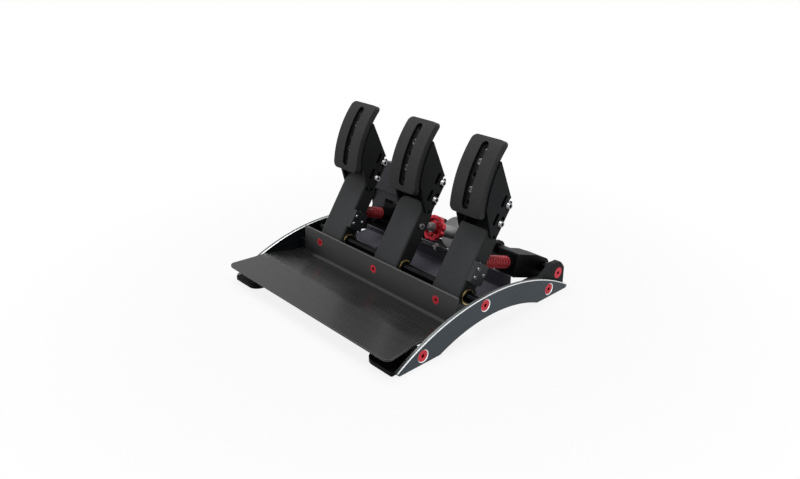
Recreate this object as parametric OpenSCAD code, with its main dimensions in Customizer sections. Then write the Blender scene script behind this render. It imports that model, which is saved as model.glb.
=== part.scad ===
// Three-pedal set for driving simulators: clutch, brake and throttle on a common frame.
// X points to the driver's right, Y away from the driver, Z up. The floor is Z = 0.
// Source lengths along Y start at the front tips of the side plates.

/* [Side plates] */
// Width over both side plates
overall_w = 370; // [350:1:420]
// Thickness of a side plate
plate_t = 6; // [5:0.5:8]
// Length of a side plate
plate_len = 341; // [331:1:351]
// Height of the top arc at its highest point
plate_h = 52.5; // [50:0.5:58]
// Height of the top arc at the tips
plate_end_h = 5; // [4:0.5:7]
// Height of the arch between the feet
arch_h = 20.5; // [14:0.5:23]
// Length of the flat foot at the front
front_foot_len = 73; // [66:1:80]
// Length of the flat foot at the rear
rear_foot_len = 70; // [64:1:80]
// Bevel along the edges of the top arc
plate_bevel = 1; // [0.6:0.2:2]
// Distance of the front plate screw from the front tip
front_screw_y = 43; // [40:1:46]
// Height of the front plate screw
front_screw_z = 11.5; // [11:0.5:13]
// Distance of the rear plate screw from the rear tip
rear_screw_back = 44; // [40:1:48]
// Height of the rear plate screw
rear_screw_z = 12.5; // [11:0.5:14]

/* [Axle and rear tube] */
// Distance of the pivot axle from the front tips
axle_y = 158; // [152:1:164]
// Height of the pivot axle
axle_z = 39; // [38:0.5:41]
// Diameter of the pivot axle
axle_d = 15; // [12:0.5:15.5]
// Distance of the rear tube from the rear tips
tube_back = 16; // [15:0.5:18]
// Height of the rear tube
tube_z = 27; // [25:0.5:29]
// Diameter of the rear tube
tube_d = 17; // [14:0.5:18]
// Thickness of the rear brackets
rear_bracket_t = 8; // [6:0.5:9]
// Radius of the ear around the rear tube
ear_r = 14; // [13.5:0.5:14.5]

/* [Heel plate and pan] */
// Thickness of the heel plate
heel_t = 3; // [2:0.5:4]
// Height of the level part of the heel plate
heel_z = 28; // [27:0.5:32]
// Overhang of the heel plate beyond the front tips
heel_overhang = 14; // [6:1:24]
// Half width of the heel plate at its front edge
heel_front_half_w = 182.5; // [178:0.5:184]
// Distance of the bend from the front tips
heel_bend_y = 46; // [45:1:50]
// Slope of the heel plate behind the bend in degrees
heel_slope = 12; // [10:0.5:13]
// Distance of the flange from the pivot axle
flange_ahead = 40; // [38:1:44]
// Height of the flange top
flange_top_z = 56; // [52:0.5:60]
// Lean of the flange in degrees
flange_lean = 4.5; // [0:0.5:6]
// Half width of the flange
flange_half_w = 168; // [160:1:170]
// Spacing of the flange screws
flange_screw_step = 129; // [110:1:140]
// Height of the flange screws
flange_screw_z = 39.5; // [36:0.5:42]
// Thickness of the base pan
pan_t = 3; // [2:0.5:4]
// Height of the pan's floor
pan_z = 12; // [11:0.5:14]
// Reach of the pan to the left
pan_left_w = 168; // [150:1:172]
// Reach of the pan to the right
pan_right_w = 150; // [140:1:160]
// Distance of the pan's rear edge ahead of the rear tube
pan_ahead = 73; // [71:1:79]
// Height of the rear lip above the floor
pan_lip_h = 25; // [18:1:27]
// Height of the front lip above the floor
pan_front_lip_h = 37; // [32:1:40]

/* [Foot brackets] */
// Width of a foot bracket
foot_w = 53; // [48:1:60]
// Thickness of a foot bracket
foot_t = 6; // [4:0.5:6]
// Overhang of a foot bracket beyond the front tips
foot_overhang = 5; // [0:1:8]
// Distance of the bracket's rear edge from the front tips
foot_rear_y = 60; // [57:1:66]
// Diameter of the floor holes
foot_hole_d = 9; // [7:0.5:10]

/* [Pedals] */
// Position of the clutch pedal
clutch_x = -130; // [-132:1:-126]
// Position of the brake pedal
brake_x = 0; // [-6:1:6]
// Position of the throttle pedal
throttle_x = 125; // [122:1:128]
// Angle of the arms from the floor in degrees
arm_angle = 55.5; // [54:0.5:57]
// Width of an arm
arm_w = 52; // [48:1:54]
// Sheet thickness of an arm
arm_t = 3; // [2:0.5:4]
// Front face of an arm ahead of the axle
arm_front = 16; // [15:0.5:18]
// Back edge of an arm behind the axle
arm_back = 10; // [9:0.5:12]
// Height of the clutch arm's front plate above the axle
clutch_plate_len = 107; // [100:1:110]
// Height of the brake arm's front plate above the axle
brake_plate_len = 98; // [92:1:102]
// Height of the throttle arm's front plate above the axle
throttle_plate_len = 93; // [88:1:98]
// Height of the arm's side walls above the axle
arm_wall_len = 148; // [144:1:154]
// Rounding of the arm's channel edges
arm_edge_r = 4; // [3.5:0.5:6]
// Thickness of a face bracket
bracket_t = 4; // [3:0.5:5]
// Width of a pedal face
face_w = 55; // [50:1:58]
// Length of a pedal face
face_len = 108; // [100:1:112]
// Thickness of a pedal face
face_t = 10; // [8:0.5:11]
// Radius of the curve of a pedal face
face_r = 150; // [140:2:170]
// Tilt of a pedal face against its arm in degrees
face_tilt = 9.5; // [8:0.5:11]
// Width of the groove along a pedal face
groove_w = 12; // [10:0.5:13]
// Depth of the groove along a pedal face
groove_depth = 5; // [3:0.5:6]
// Spacing of the holes along a pedal face
face_hole_step = 20; // [18:0.5:21]

/* [Struts] */
// Distance of the clutch and throttle struts to the right of their pedals
strut_offset = 9; // [4:1:12]
// Distance of the clutch and throttle strut pins from the axle
strut_pin_u = 46; // [44:1:47]
// Distance of the brake strut pin from the axle
brake_pin_u = 64.5; // [62:0.5:68]
// Diameter of a strut pin
strut_pin_d = 8; // [6:0.5:8]
// Diameter of a strut rod
rod_d = 8; // [6:0.5:10]
// Width of a strut housing
housing_w = 34; // [30:1:36]
// Height of a strut housing
housing_h = 35; // [32:1:35]
// Length of a strut housing ahead of the rear tube
housing_len = 70; // [62:1:72]
// Outer diameter of a spring
spring_od = 19; // [17:0.5:20]
// Diameter of the spring wire
spring_wire_d = 2.4; // [2:0.1:2.5]
// Number of curls of the throttle spring
throttle_curls = 15; // [10:1:16]
// Number of curls of the clutch spring
clutch_curls = 10; // [7:1:10]
// Length of the collar ahead of the clutch housing
clutch_collar_len = 21; // [12:1:22]
// Length of the collar ahead of the throttle housing
throttle_collar_len = 2; // [2:1:6]
// Diameter of the brake cylinder
cylinder_d = 54; // [48:1:54]
// Length of the brake cylinder
cylinder_len = 50; // [46:1:52]
// Diameter of the brake's piston tube
piston_d = 20; // [16:1:24]
// Diameter of the adjuster knob
knob_d = 40; // [34:1:44]
// Thickness of the adjuster knob
knob_t = 8; // [7:1:10]

/* [Electronics] */
// Width of the control box
box_w = 98; // [90:1:104]
// Depth of the control box
box_depth = 46; // [40:1:46]
// Height of the control box
box_h = 60; // [54:1:74]
// Height of the control box tray
tray_h = 14; // [10:1:15]
// Thickness of the sensor boxes
sensor_t = 8.5; // [8:0.5:12]
// Diameter of a sensor wire
wire_d = 3; // [2:0.5:3.5]

/* [Hidden] */
$fn = 48;

// Colours
black = [0.10, 0.10, 0.11];
slate = [0.24, 0.28, 0.31];
pan_grey = [0.22, 0.22, 0.26];
red = [0.78, 0.06, 0.09];
steel = [0.72, 0.73, 0.75];
brass = [0.72, 0.58, 0.28];
board_green = [0.08, 0.30, 0.16];

// Clearances
seat_gap = 0.15;
run_gap = 0.05;
side_gap = 0.3;
pin_gap = 0.6;
hole_gap = 0.2;
past = 1;

// Frame
origin_y = (plate_len - heel_overhang) / 2;
half_w = overall_w / 2;
inner_x = half_w - plate_t;
plate_rise = plate_h - plate_end_h;
plate_top_r = (pow(plate_len / 2, 2) + pow(plate_rise, 2)) / (2 * plate_rise);
plate_tip_r = 4.5;
arch_half = (plate_len - front_foot_len - rear_foot_len) / 2;
arch_r = (pow(arch_half, 2) + pow(arch_h, 2)) / (2 * arch_h);
axle = [axle_y, axle_z];
tube = [plate_len - tube_back, tube_z];
front_screw = [front_screw_y, front_screw_z];
rear_screw = [plate_len - rear_screw_back, rear_screw_z];

// Screws: shank radius, head radius
plate_screw_r = 3;
plate_head_r = 8;
plate_sink_r = 9.1;
rear_head_r = 8.6;
heel_screw_r = 2.5;
heel_head_r = 6.2;
bolt_r = 3;
bolt_head_r = 5.3;
bolt_head_h = 3.4;
nut_h = 4;
sink_ratio = 0.75;

// Heel plate and pan
flange_foot_y = axle_y - flange_ahead;
flange_foot_z = heel_z - (flange_foot_y - heel_bend_y) * tan(heel_slope);
flange_foot = [flange_foot_y, flange_foot_z];
flange_up = [sin(flange_lean), cos(flange_lean)];
flange_out = [cos(flange_lean), -sin(flange_lean)];
flange_len = (flange_top_z - flange_foot_z) / cos(flange_lean);
flange_screw_u = (flange_screw_z - flange_foot_z) / cos(flange_lean);
heel_side_gap = 2;
bend_r = 5;
heel_bend_r = 40;
pan_rear_y = tube[0] - pan_ahead;
lip_notch_w = pan_left_w + clutch_x + arm_w / 2 + 7;
lip_notch_z = pan_z + 8;

// Foot brackets
foot_rest_from = 33;
foot_rest_to = heel_bend_y - 7;
foot_wall_front = 24;
foot_wall_z = 19;
foot_front_hole = [inner_x - 39, 6.5];
foot_rear_hole = [inner_x - 27, 45];
rear_tab_w = 46;
rear_tab_len = 38;

// Pedals
arm_half_w = arm_w / 2;
arm_foot_u = -8;
arm_top_r = 5;
brake_top_r = 16;
arm_foot_r = (arm_front + arm_back) / 2;
arm_foot_w = (arm_back - arm_front) / 2;
arm_neck_w = -12;
arm_upper_back = 4;
arm_narrow_u = 100;
arm_taper_u = 82;
neck_front_w = -22;
neck_from_u = 102;
neck_front_u = 141;
neck_peak = [-13, 147];
neck_back_u = 138;
bush_r = axle_d / 2 + 1.1;
bush_flange_r = bush_r + 2.4;
bush_flange_t = 2;
pin_w = -3;
bolt_w = -3;
bolt_us = [108, 135];
slot_len = 18;
second_slot_w = -16.5;
face_mid_w = -54.5;
face_mid_u = 152;
face_half_angle = asin(face_len / 2 / face_r);
face_axis_w = face_r * cos(face_half_angle);
face_corner_r = 8;
face_sink = groove_depth + 0.2;
face_screw_r = 2.5;
face_screw_head_r = 4.4;
web_gap = 0.1;
web_r = face_r - face_t - web_gap;
face_axis = [face_mid_w + face_axis_w * cos(face_tilt), face_mid_u + face_axis_w * sin(face_tilt)];
web_from = -46;
web_to = 34;

// Outline of a face bracket in the arm's plane, from its lower front corner
bracket_front = [-51, 121.5];
bracket_nose = [-85, 126];
bracket_top = [-85, 198];
bracket_rear = [3, 141];
bracket_heel = [2, 92];
bracket_tip = [-4, 80];
tip_hole = [-4.5, 88];
tip_hole_r = 2.6;

// Struts
clutch_pin = arm_point(pin_w, strut_pin_u);
brake_pin = arm_point(pin_w, brake_pin_u);
eye_r = 8;
eye_w = 14;
seat_from = 14;
seat_t = 3;
seat_r = spring_od / 2 + 1.5;
rod_in_housing = 30;
strut_len = norm(tube - clutch_pin);
brake_len = norm(tube - brake_pin);
spring_from = seat_from + seat_t;
housing_from = strut_len - housing_len;
cylinder_end = 11;
cylinder_end_r = 12;
cylinder_from = brake_len - cylinder_len + cylinder_end;
cylinder_wire_ahead = 17;
knob_from = 56;
knob_hub_r = 9;
knob_rim_w = 5;
knob_hole_r = 2.4;
shank_r = 6;

// Control box, along and above the axis of the clutch strut
box_from = housing_from + 2;
box_v = housing_h / 2 + 5;
box_left = -(inner_x - rear_bracket_t - 3);
box_right = box_left + box_w;
box_bracket_t = 3;
box_wall = 2;
cover_lip = 2;
board_t = 1.6;
apron_right = clutch_x + strut_offset - housing_w / 2 - 2;

// Sensor boxes on the arms
sensor_w0 = -18;
sensor_w1 = 8;
sensor_u0 = 19;
sensor_u1 = 49;
sensor_screw_at = [[-13, 40], [-13, 28], [3, 35]];
sensor_screw_r = 1.5;
sensor_wire_x = arm_half_w + sensor_t / 2;
sensor_wire_w = 4;
sensor_wire_in = 3;

// Routes of the wires, from the sensors to the tray of the control box
floor_z = pan_z + wire_d / 2 + 1;
lip_y = pan_rear_y - pan_t - wire_d / 2 - 1.5;
loom_z = pan_z + pan_lip_h - 1.5;
loom_y = lip_y - wire_d - 0.3;
tray_wire_s = box_from + 16;
tray_wire_xs = [for (d = [20, 13, 6]) box_right - d];
clutch_wire_route = concat(sensor_exit(clutch_x), [
    [clutch_x + 32, axle_y + 12, 37],
    [clutch_x + 34, axle_y + 19, 25],
    [clutch_x + 36, axle_y + 31, floor_z + 1],
    [clutch_x + 38, axle_y + 52, floor_z],
    [tray_wire_xs[0] - 1, pan_rear_y - 16, floor_z],
    [tray_wire_xs[0], lip_y - 1, floor_z + 7],
    [tray_wire_xs[0], lip_y, loom_z - 4],
    [tray_wire_xs[0], pan_rear_y - 2, loom_z + 6],
    [tray_wire_xs[0], pan_rear_y + 8, loom_z + 11],
    [tray_wire_xs[0], pan_rear_y + 20, loom_z + 14]
], tray_entry(tray_wire_xs[0]));
throttle_wire_route = concat(sensor_exit(throttle_x), [
    [throttle_x + 31, axle_y + 12, 37],
    [throttle_x + 27, axle_y + 20, 26],
    [throttle_x + 15, axle_y + 33, floor_z + 3],
    [throttle_x - 3, axle_y + 50, floor_z],
    [throttle_x - 27, axle_y + 70, floor_z],
    [78, lip_y - 4, floor_z + 3],
    [62, lip_y, loom_z - 8],
    [44, lip_y, loom_z],
    [0, lip_y, loom_z],
    [-46, lip_y, loom_z],
    [tray_wire_xs[2] + 12, pan_rear_y - 4, loom_z + 5],
    [tray_wire_xs[2] + 2, pan_rear_y + 4, loom_z + 11],
    [tray_wire_xs[2], pan_rear_y + 18, loom_z + 14]
], tray_entry(tray_wire_xs[2]));
brake_wire_route = concat(cylinder_exit(), [
    [44, tube[0] - 20, 34],
    [50, tube[0] - 32, 35],
    [52, pan_rear_y + 26, 38],
    [50, pan_rear_y + 10, loom_z + 6],
    [44, pan_rear_y - 2, loom_z + 6],
    [32, loom_y - 1, loom_z + 4],
    [20, loom_y, loom_z],
    [4, loom_y, loom_z],
    [-46, loom_y, loom_z],
    [tray_wire_xs[1] + 15, loom_y + 1, loom_z + 5],
    [tray_wire_xs[1] + 3, pan_rear_y, loom_z + 11],
    [tray_wire_xs[1], pan_rear_y + 16, loom_z + 14]
], tray_entry(tray_wire_xs[1]));

function unit(v) = v / norm(v);

// Point of the arm's own plane: back from the axle by w and up the arm by u
function arm_point(w, u) = [
    axle_y + w * sin(arm_angle) + u * cos(arm_angle),
    axle_z - w * cos(arm_angle) + u * sin(arm_angle)
];

// Point beside a strut: along its axis by s and above it by v
function strut_point(pin, s, v) = let (d = unit(tube - pin)) pin + s * d + v * [-d[1], d[0]];

// Ends of a wire: out of a sensor box, out of the brake cylinder, and up through the tray
function sensor_exit(x) = [for (u = [sensor_u0 + sensor_wire_in, sensor_u0 - 7])
    [x + sensor_wire_x, each arm_point(sensor_wire_w, u)]];
function cylinder_exit() = [for (x = [cylinder_d / 2 - 4, cylinder_d / 2 + 5])
    [x, each strut_point(brake_pin, brake_len - cylinder_wire_ahead, 0)]];
function tray_entry(x) = [for (v = [box_v - 9, box_v + box_wall + 1])
    [x, each strut_point(clutch_pin, tray_wire_s, v)]];

// Arc that rounds the corner p between its neighbours a and b
function corner(a, p, b, r, steps = 6) = let (
    ua = unit(a - p),
    ub = unit(b - p),
    half = acos(ua * ub) / 2,
    c = p + unit(ua + ub) * r / sin(half),
    s = p + ua * r / tan(half) - c,
    e = p + ub * r / tan(half) - c,
    from = atan2(s[1], s[0]),
    turn = atan2(s[0] * e[1] - s[1] * e[0], s * e)
) r <= 0 ? [p] : [for (i = [0:steps]) c + r * [cos(from + turn * i / steps), sin(from + turn * i / steps)]];

// Closed outline with one rounding radius per corner
function rounded(pts, radii) = let (n = len(pts)) [
    for (i = [0:n - 1]) each corner(pts[(i + n - 1) % n], pts[i], pts[(i + 1) % n], radii[i])
];

// Open path with its inner corners rounded
function bent(path, radii) = [
    path[0],
    for (i = [1:len(path) - 2]) each corner(path[i - 1], path[i], path[i + 1], radii[i - 1]),
    path[len(path) - 1]
];

// Outline of a sheet of thickness t on the left of a path, or on its right where t is negative
function sheet(path, t) = let (
    n = len(path),
    dirs = [for (i = [0:n - 2]) unit(path[i + 1] - path[i])],
    normals = [for (d = dirs) [-d[1], d[0]]],
    mitres = [for (i = [0:n - 1]) let (
        a = normals[max(i - 1, 0)],
        b = normals[min(i, n - 2)]
    ) (a + b) / (1 + a * b)]
) concat(path, [for (i = [n - 1:-1:0]) path[i] + mitres[i] * t]);

// Round tube of few sides swept along points
function tangent(path, i) = let (
    a = i > 0 ? unit(path[i] - path[i - 1]) : [0, 0, 0],
    b = i < len(path) - 1 ? unit(path[i + 1] - path[i]) : [0, 0, 0]
) unit(a + b);
function carried(path, normal, i = 0) = i == len(path) ? [] : let (
    t = tangent(path, i),
    n = unit(normal - t * (normal * t))
) concat([n], carried(path, n, i + 1));
module swept_tube(path, r, sides, normal) {
    normals = carried(path, normal);
    rings = len(path);
    points = [for (i = [0:rings - 1]) let (
        n = normals[i],
        b = cross(tangent(path, i), n)
    ) for (k = [0:sides - 1]) path[i] + r * (cos(360 * k / sides) * n + sin(360 * k / sides) * b)];
    walls = [for (i = [0:rings - 2]) for (k = [0:sides - 1]) let (
        a = i * sides + k,
        b = i * sides + (k + 1) % sides
    ) each [[a, a + sides, b], [b, a + sides, b + sides]]];
    last = (rings - 1) * sides;
    caps = [for (k = [1:sides - 2]) each [[0, k, k + 1], [last, last + k + 1, last + k]]];
    polyhedron(points, concat(walls, caps));
}

// Curve through points with an extra point between neighbours
function curve(pts) = let (n = len(pts)) [
    for (i = [0:n - 2]) let (
        a = pts[max(i - 1, 0)],
        b = pts[i],
        c = pts[i + 1],
        d = pts[min(i + 2, n - 1)]
    ) for (f = [0, 0.5])
        b + 0.5 * f * (c - a + f * (2 * a - 5 * b + 4 * c - d + f * (3 * b - a - 3 * c + d))),
    pts[n - 1]
];

// Spring wire: a straight end, the curls and a straight end
spring_mean_r = (spring_od - spring_wire_d) / 2;
rings_per_curl = 8;
function spring_path(to, curls) = let (
    from = spring_from + spring_wire_d,
    rise = (to - spring_wire_d - from) / (curls * rings_per_curl)
) concat(
    [[spring_mean_r, 0, spring_from]],
    [for (i = [0:curls * rings_per_curl]) let (a = 360 * i / rings_per_curl)
        [spring_mean_r * cos(a), spring_mean_r * sin(a), from + rise * i]],
    [[spring_mean_r, 0, to]]
);
function least_gap(path) = min([for (i = [0:len(path) - 1]) for (j = [i + 5:1:len(path) - 1])
    norm(path[i] - path[j])]) - spring_wire_d;
clutch_spring_path = spring_path(housing_from - clutch_collar_len, clutch_curls);
throttle_spring_path = spring_path(housing_from - throttle_collar_len, throttle_curls);
echo(least_gap_between_clutch_spring_curls = least_gap(clutch_spring_path));
echo(least_gap_between_throttle_spring_curls = least_gap(throttle_spring_path));

module at_origin() {
    translate([0, -origin_y, 0]) children();
}

// Profile in Y and Z pushed along X
module yz(x0, x1) {
    translate([x0, 0, 0]) rotate([90, 0, 90]) linear_extrude(x1 - x0) children();
}

module rod_x(r, x0, x1, p) {
    translate([x0, p[0], p[1]]) rotate([0, 90, 0]) cylinder(r = r, h = x1 - x0);
}

// Frame of an arm: Y back from the axle, Z up the arm
module on_arm(x) {
    translate([x, axle_y, axle_z]) rotate([arm_angle - 90, 0, 0]) children();
}

// Frame of a pedal face: Y back, Z along the chord
module on_face(x) {
    on_arm(x) translate([0, face_mid_w, face_mid_u]) rotate([face_tilt, 0, 0]) children();
}

// Frame of a strut: Z from the pin to the rear tube, Y down
module on_strut(x, pin) {
    slope = atan2(pin[1] - tube[1], tube[0] - pin[0]);
    translate([x, pin[0], pin[1]]) rotate([-90 - slope, 0, 0]) children();
}

// Countersunk screw along -Z with its rim at Z = 0
module countersunk(shank_r, head_r, length) {
    head_h = (head_r - shank_r) * sink_ratio;
    socket_r = shank_r * 0.95;
    difference() {
        union() {
            translate([0, 0, -head_h]) cylinder(r1 = shank_r, r2 = head_r, h = head_h);
            translate([0, 0, -length]) cylinder(r = shank_r, h = length - head_h);
        }
        translate([0, 0, -head_h * 0.7]) cylinder(r = socket_r, h = head_h, $fn = 6);
    }
}

// Room for a countersunk screw, with its rim at Z = 0
module countersink(shank_r, rim_r, length) {
    hole_r = shank_r + hole_gap;
    sink_h = (rim_r - hole_r) * sink_ratio;
    translate([0, 0, -length]) cylinder(r = hole_r, h = length + past);
    translate([0, 0, -sink_h]) cylinder(r1 = hole_r, r2 = rim_r, h = sink_h);
    cylinder(r = rim_r, h = past);
}

module slot(w, length) {
    square([w, length - w], center = true);
    for (s = [-1, 1]) translate([0, s * (length - w) / 2]) circle(d = w);
}

// Frame

module plate_screw_places(points) {
    for (p = points) translate([half_w, p[0], p[1]]) rotate([0, 90, 0]) children();
}

module side_plate_blank() {
    difference() {
        intersection() {
            translate([inner_x, plate_len / 2, plate_h - plate_top_r]) rotate([0, 90, 0]) {
                cylinder(r1 = plate_top_r - plate_bevel, r2 = plate_top_r, h = plate_bevel, $fn = 180);
                translate([0, 0, plate_bevel])
                    cylinder(r = plate_top_r, h = plate_t - 2 * plate_bevel, $fn = 180);
                translate([0, 0, plate_t - plate_bevel])
                    cylinder(r1 = plate_top_r, r2 = plate_top_r - plate_bevel, h = plate_bevel, $fn = 180);
            }
            yz(inner_x, half_w) {
                translate([plate_tip_r, 0]) square([plate_len - 2 * plate_tip_r, plate_h]);
                for (y = [plate_tip_r, plate_len - plate_tip_r])
                    translate([y, plate_tip_r]) circle(plate_tip_r);
            }
        }
        translate([0, front_foot_len + arch_half, arch_h - arch_r])
            rod_x(arch_r, inner_x - past, half_w + past, [0, 0], $fn = 180);
        plate_screw_places([front_screw, axle, rear_screw])
            countersink(plate_screw_r, plate_sink_r, plate_t + past);
    }
}

module side_plate_right() {
    color(slate) at_origin() side_plate_blank();
}

module side_plate_left() {
    color(slate) at_origin() mirror([1, 0, 0]) side_plate_blank();
}

module side_plate_screws() {
    depth = (plate_sink_r - plate_head_r - seat_gap) * sink_ratio;
    color(red) at_origin() for (s = [0, 1]) mirror([s, 0, 0])
        plate_screw_places([front_screw, axle, rear_screw])
            translate([0, 0, -depth]) countersunk(plate_screw_r, plate_head_r, plate_t + 4);
}

module flange_frame(x, u) {
    p = flange_foot + u * flange_up;
    translate([x, p[0], p[1]]) rotate([90 - flange_lean, 0, 0]) children();
}

module heel_plate() {
    path = bent([
        [-heel_overhang, heel_z], [heel_bend_y, heel_z], flange_foot, flange_foot + flange_len * flange_up
    ], [heel_bend_r, bend_r]);
    bend_half_w = inner_x - heel_side_gap;
    outline = [
        [-heel_front_half_w, -heel_overhang], [heel_front_half_w, -heel_overhang],
        [bend_half_w, heel_bend_y - 12], [bend_half_w, flange_foot_y - 10],
        [flange_half_w, flange_foot_y - 4], [flange_half_w, axle_y],
        [-flange_half_w, axle_y], [-flange_half_w, flange_foot_y - 4],
        [-bend_half_w, flange_foot_y - 10], [-bend_half_w, heel_bend_y - 12]
    ];
    color(black) at_origin() difference() {
        intersection() {
            yz(-half_w, half_w) polygon(sheet(path, -heel_t));
            linear_extrude(flange_top_z + past) polygon(rounded(outline, [9, 9, 20, 2, 2, 0, 0, 2, 2, 20]));
        }
        for (i = [-1:1]) flange_frame(i * flange_screw_step, flange_screw_u)
            countersink(heel_screw_r, heel_head_r + seat_gap, heel_t + past);
    }
}

module heel_plate_screws() {
    color(red) at_origin() for (i = [-1:1]) flange_frame(i * flange_screw_step, flange_screw_u) {
        countersunk(heel_screw_r, heel_head_r, heel_t + pan_t + nut_h + 1);
        translate([0, 0, -heel_t - pan_t - nut_h]) difference() {
            cylinder(r = heel_screw_r * 1.85, h = nut_h, $fn = 6);
            translate([0, 0, -past]) cylinder(r = heel_screw_r + run_gap, h = nut_h + 2 * past);
        }
    }
}

module base_pan() {
    lip_foot = flange_foot + heel_t * flange_out;
    drop = (lip_foot[1] - (pan_z - pan_t)) / cos(flange_lean);
    rise = (pan_z + pan_front_lip_h - lip_foot[1]) / cos(flange_lean);
    path = bent([
        lip_foot + rise * flange_up, lip_foot - drop * flange_up,
        [pan_rear_y, pan_z - pan_t], [pan_rear_y, pan_z + pan_lip_h]
    ], [bend_r, bend_r]);
    color(pan_grey) at_origin() difference() {
        yz(-pan_left_w, pan_right_w) polygon(sheet(path, pan_t));
        translate([-pan_left_w - past, pan_rear_y - pan_t - past, lip_notch_z])
            cube([lip_notch_w + past, pan_t + 2 * past, pan_lip_h]);
        for (i = [-1:1]) flange_frame(i * flange_screw_step, flange_screw_u)
            translate([0, 0, -heel_t - pan_t - past])
                cylinder(r = heel_screw_r + hole_gap, h = pan_t + 2 * past);
    }
}

hanger_x = 62;
hanger_t = 6;
hanger_foot_w = 22;
hanger_plate_left = 3 - pan_left_w;
hanger_plate_half_w = 75;
hanger_plate_to = 54;
hanger_side_to = 46;
hanger_notch_from = 33;
module pan_hangers() {
    lip_top = pan_z + pan_lip_h;
    color(black) at_origin() {
        for (s = [-1, 1]) translate([s * hanger_x, 0, 0]) difference() {
            union() {
                yz(-hanger_t / 2, hanger_t / 2) {
                    polygon([
                        [pan_rear_y, pan_z + 2], [pan_rear_y, lip_top], tube + [0, ear_r], tube + [0, -ear_r]
                    ]);
                    translate(tube) circle(ear_r);
                }
                yz(-hanger_foot_w / 2, hanger_foot_w / 2)
                    translate([pan_rear_y, pan_z + 2]) square([hanger_t / 2, pan_lip_h - 2]);
            }
            rod_x(tube_d / 2 + run_gap, -hanger_foot_w, hanger_foot_w, tube);
        }
        translate([0, pan_rear_y, pan_z]) linear_extrude(pan_t) polygon([
            [hanger_plate_left, 0], [hanger_plate_half_w, 0], [hanger_plate_half_w, hanger_plate_to],
            [24, hanger_plate_to], [12, hanger_notch_from], [-12, hanger_notch_from], [-24, hanger_plate_to],
            [-hanger_plate_half_w, hanger_plate_to], [-hanger_plate_half_w, hanger_side_to],
            [hanger_plate_left, hanger_side_to]
        ]);
    }
}

ring_t = 1.2;
groove_r = axle_d / 2 - 0.8;
ring_xs = [for (x = [clutch_x, brake_x, throttle_x]) for (s = [-1, 1])
    x + s * (arm_half_w + bush_flange_t + side_gap + ring_t / 2)];
module pivot_axle() {
    color(black) at_origin() difference() {
        rod_x(axle_d / 2, -inner_x, inner_x, axle);
        for (x = ring_xs) difference() {
            rod_x(axle_d, x - ring_t / 2 - run_gap, x + ring_t / 2 + run_gap, axle);
            rod_x(groove_r, x - ring_t, x + ring_t, axle);
        }
        for (s = [-1, 1]) translate([s * inner_x, axle_y, axle_z])
            rotate([0, 90, 0]) cylinder(r = plate_screw_r + run_gap, h = 40, center = true);
    }
}

module axle_rings() {
    color(steel) at_origin() for (x = ring_xs) difference() {
        rod_x(axle_d / 2 + 2, x - ring_t / 2, x + ring_t / 2, axle);
        rod_x(groove_r + run_gap, x - ring_t, x + ring_t, axle);
    }
}

module rear_tube() {
    end_x = inner_x - rear_bracket_t;
    color(steel) at_origin() difference() {
        rod_x(tube_d / 2, -end_x, end_x, tube);
        for (s = [-1, 1]) translate([s * end_x, tube[0], tube[1]])
            rotate([0, 90, 0]) cylinder(r = plate_screw_r + run_gap, h = 30, center = true);
    }
}

module rear_bracket_blank() {
    back_y = tube[0] + ear_r;
    outline = [
        tube + [-62, -9], tube + [-14.5, 19.5], tube + [3, 18.5], [back_y, tube_z + 6],
        [back_y, 0], [tube[0] - 43, 0]
    ];
    difference() {
        union() {
            yz(inner_x - rear_bracket_t, inner_x) polygon(rounded(outline, [4, 4, 10, 10, 2, 3]));
            translate([inner_x - rear_tab_w, tube[0] - rear_tab_len, 0])
                cube([rear_tab_w, rear_tab_len + ear_r - 3, foot_t]);
        }
        translate([inner_x, rear_screw[0], rear_screw[1]]) rotate([0, 90, 0])
            cylinder(r = plate_screw_r + run_gap, h = 3 * rear_bracket_t, center = true);
        translate([inner_x, tube[0], tube[1]]) rotate([0, 90, 0])
            countersink(plate_screw_r, rear_head_r + seat_gap, rear_bracket_t + past);
    }
}

module rear_bracket_right() {
    color(black) at_origin() rear_bracket_blank();
}

module rear_bracket_left() {
    color(black) at_origin() mirror([1, 0, 0]) rear_bracket_blank();
}

module rear_bracket_screws() {
    color(red) at_origin() for (s = [0, 1]) mirror([s, 0, 0])
        translate([inner_x, tube[0], tube[1]]) rotate([0, 90, 0])
            countersunk(plate_screw_r, rear_head_r, rear_bracket_t + 12);
}

module foot_bracket_blank() {
    tab = [
        [inner_x - foot_w, -foot_overhang], [inner_x, -foot_overhang],
        [inner_x, foot_rear_y], [inner_x - foot_w, foot_rear_y]
    ];
    rest_z = heel_z - heel_t;
    wall = [
        [foot_wall_front, 0], [foot_rear_y, 0], [foot_rear_y, foot_wall_z], [foot_rest_to + 4, foot_wall_z],
        [foot_rest_to, rest_z], [foot_rest_from, rest_z], [foot_wall_front, foot_wall_z - 2]
    ];
    difference() {
        union() {
            linear_extrude(foot_t) polygon(rounded(tab, [16, 2, 2, 4]));
            yz(inner_x - foot_t, inner_x) polygon(rounded(wall, [0, 0, 5, 2, 1, 1, 3]));
        }
        for (p = [foot_front_hole, foot_rear_hole]) translate([p[0], p[1], -past])
            cylinder(d = foot_hole_d, h = foot_t + 2 * past);
        rod_x(plate_screw_r + run_gap, inner_x - 2 * foot_t, inner_x + past, front_screw);
    }
}

module foot_bracket_right() {
    color(black) at_origin() foot_bracket_blank();
}

module foot_bracket_left() {
    color(black) at_origin() mirror([1, 0, 0]) foot_bracket_blank();
}

// Pedals

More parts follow.
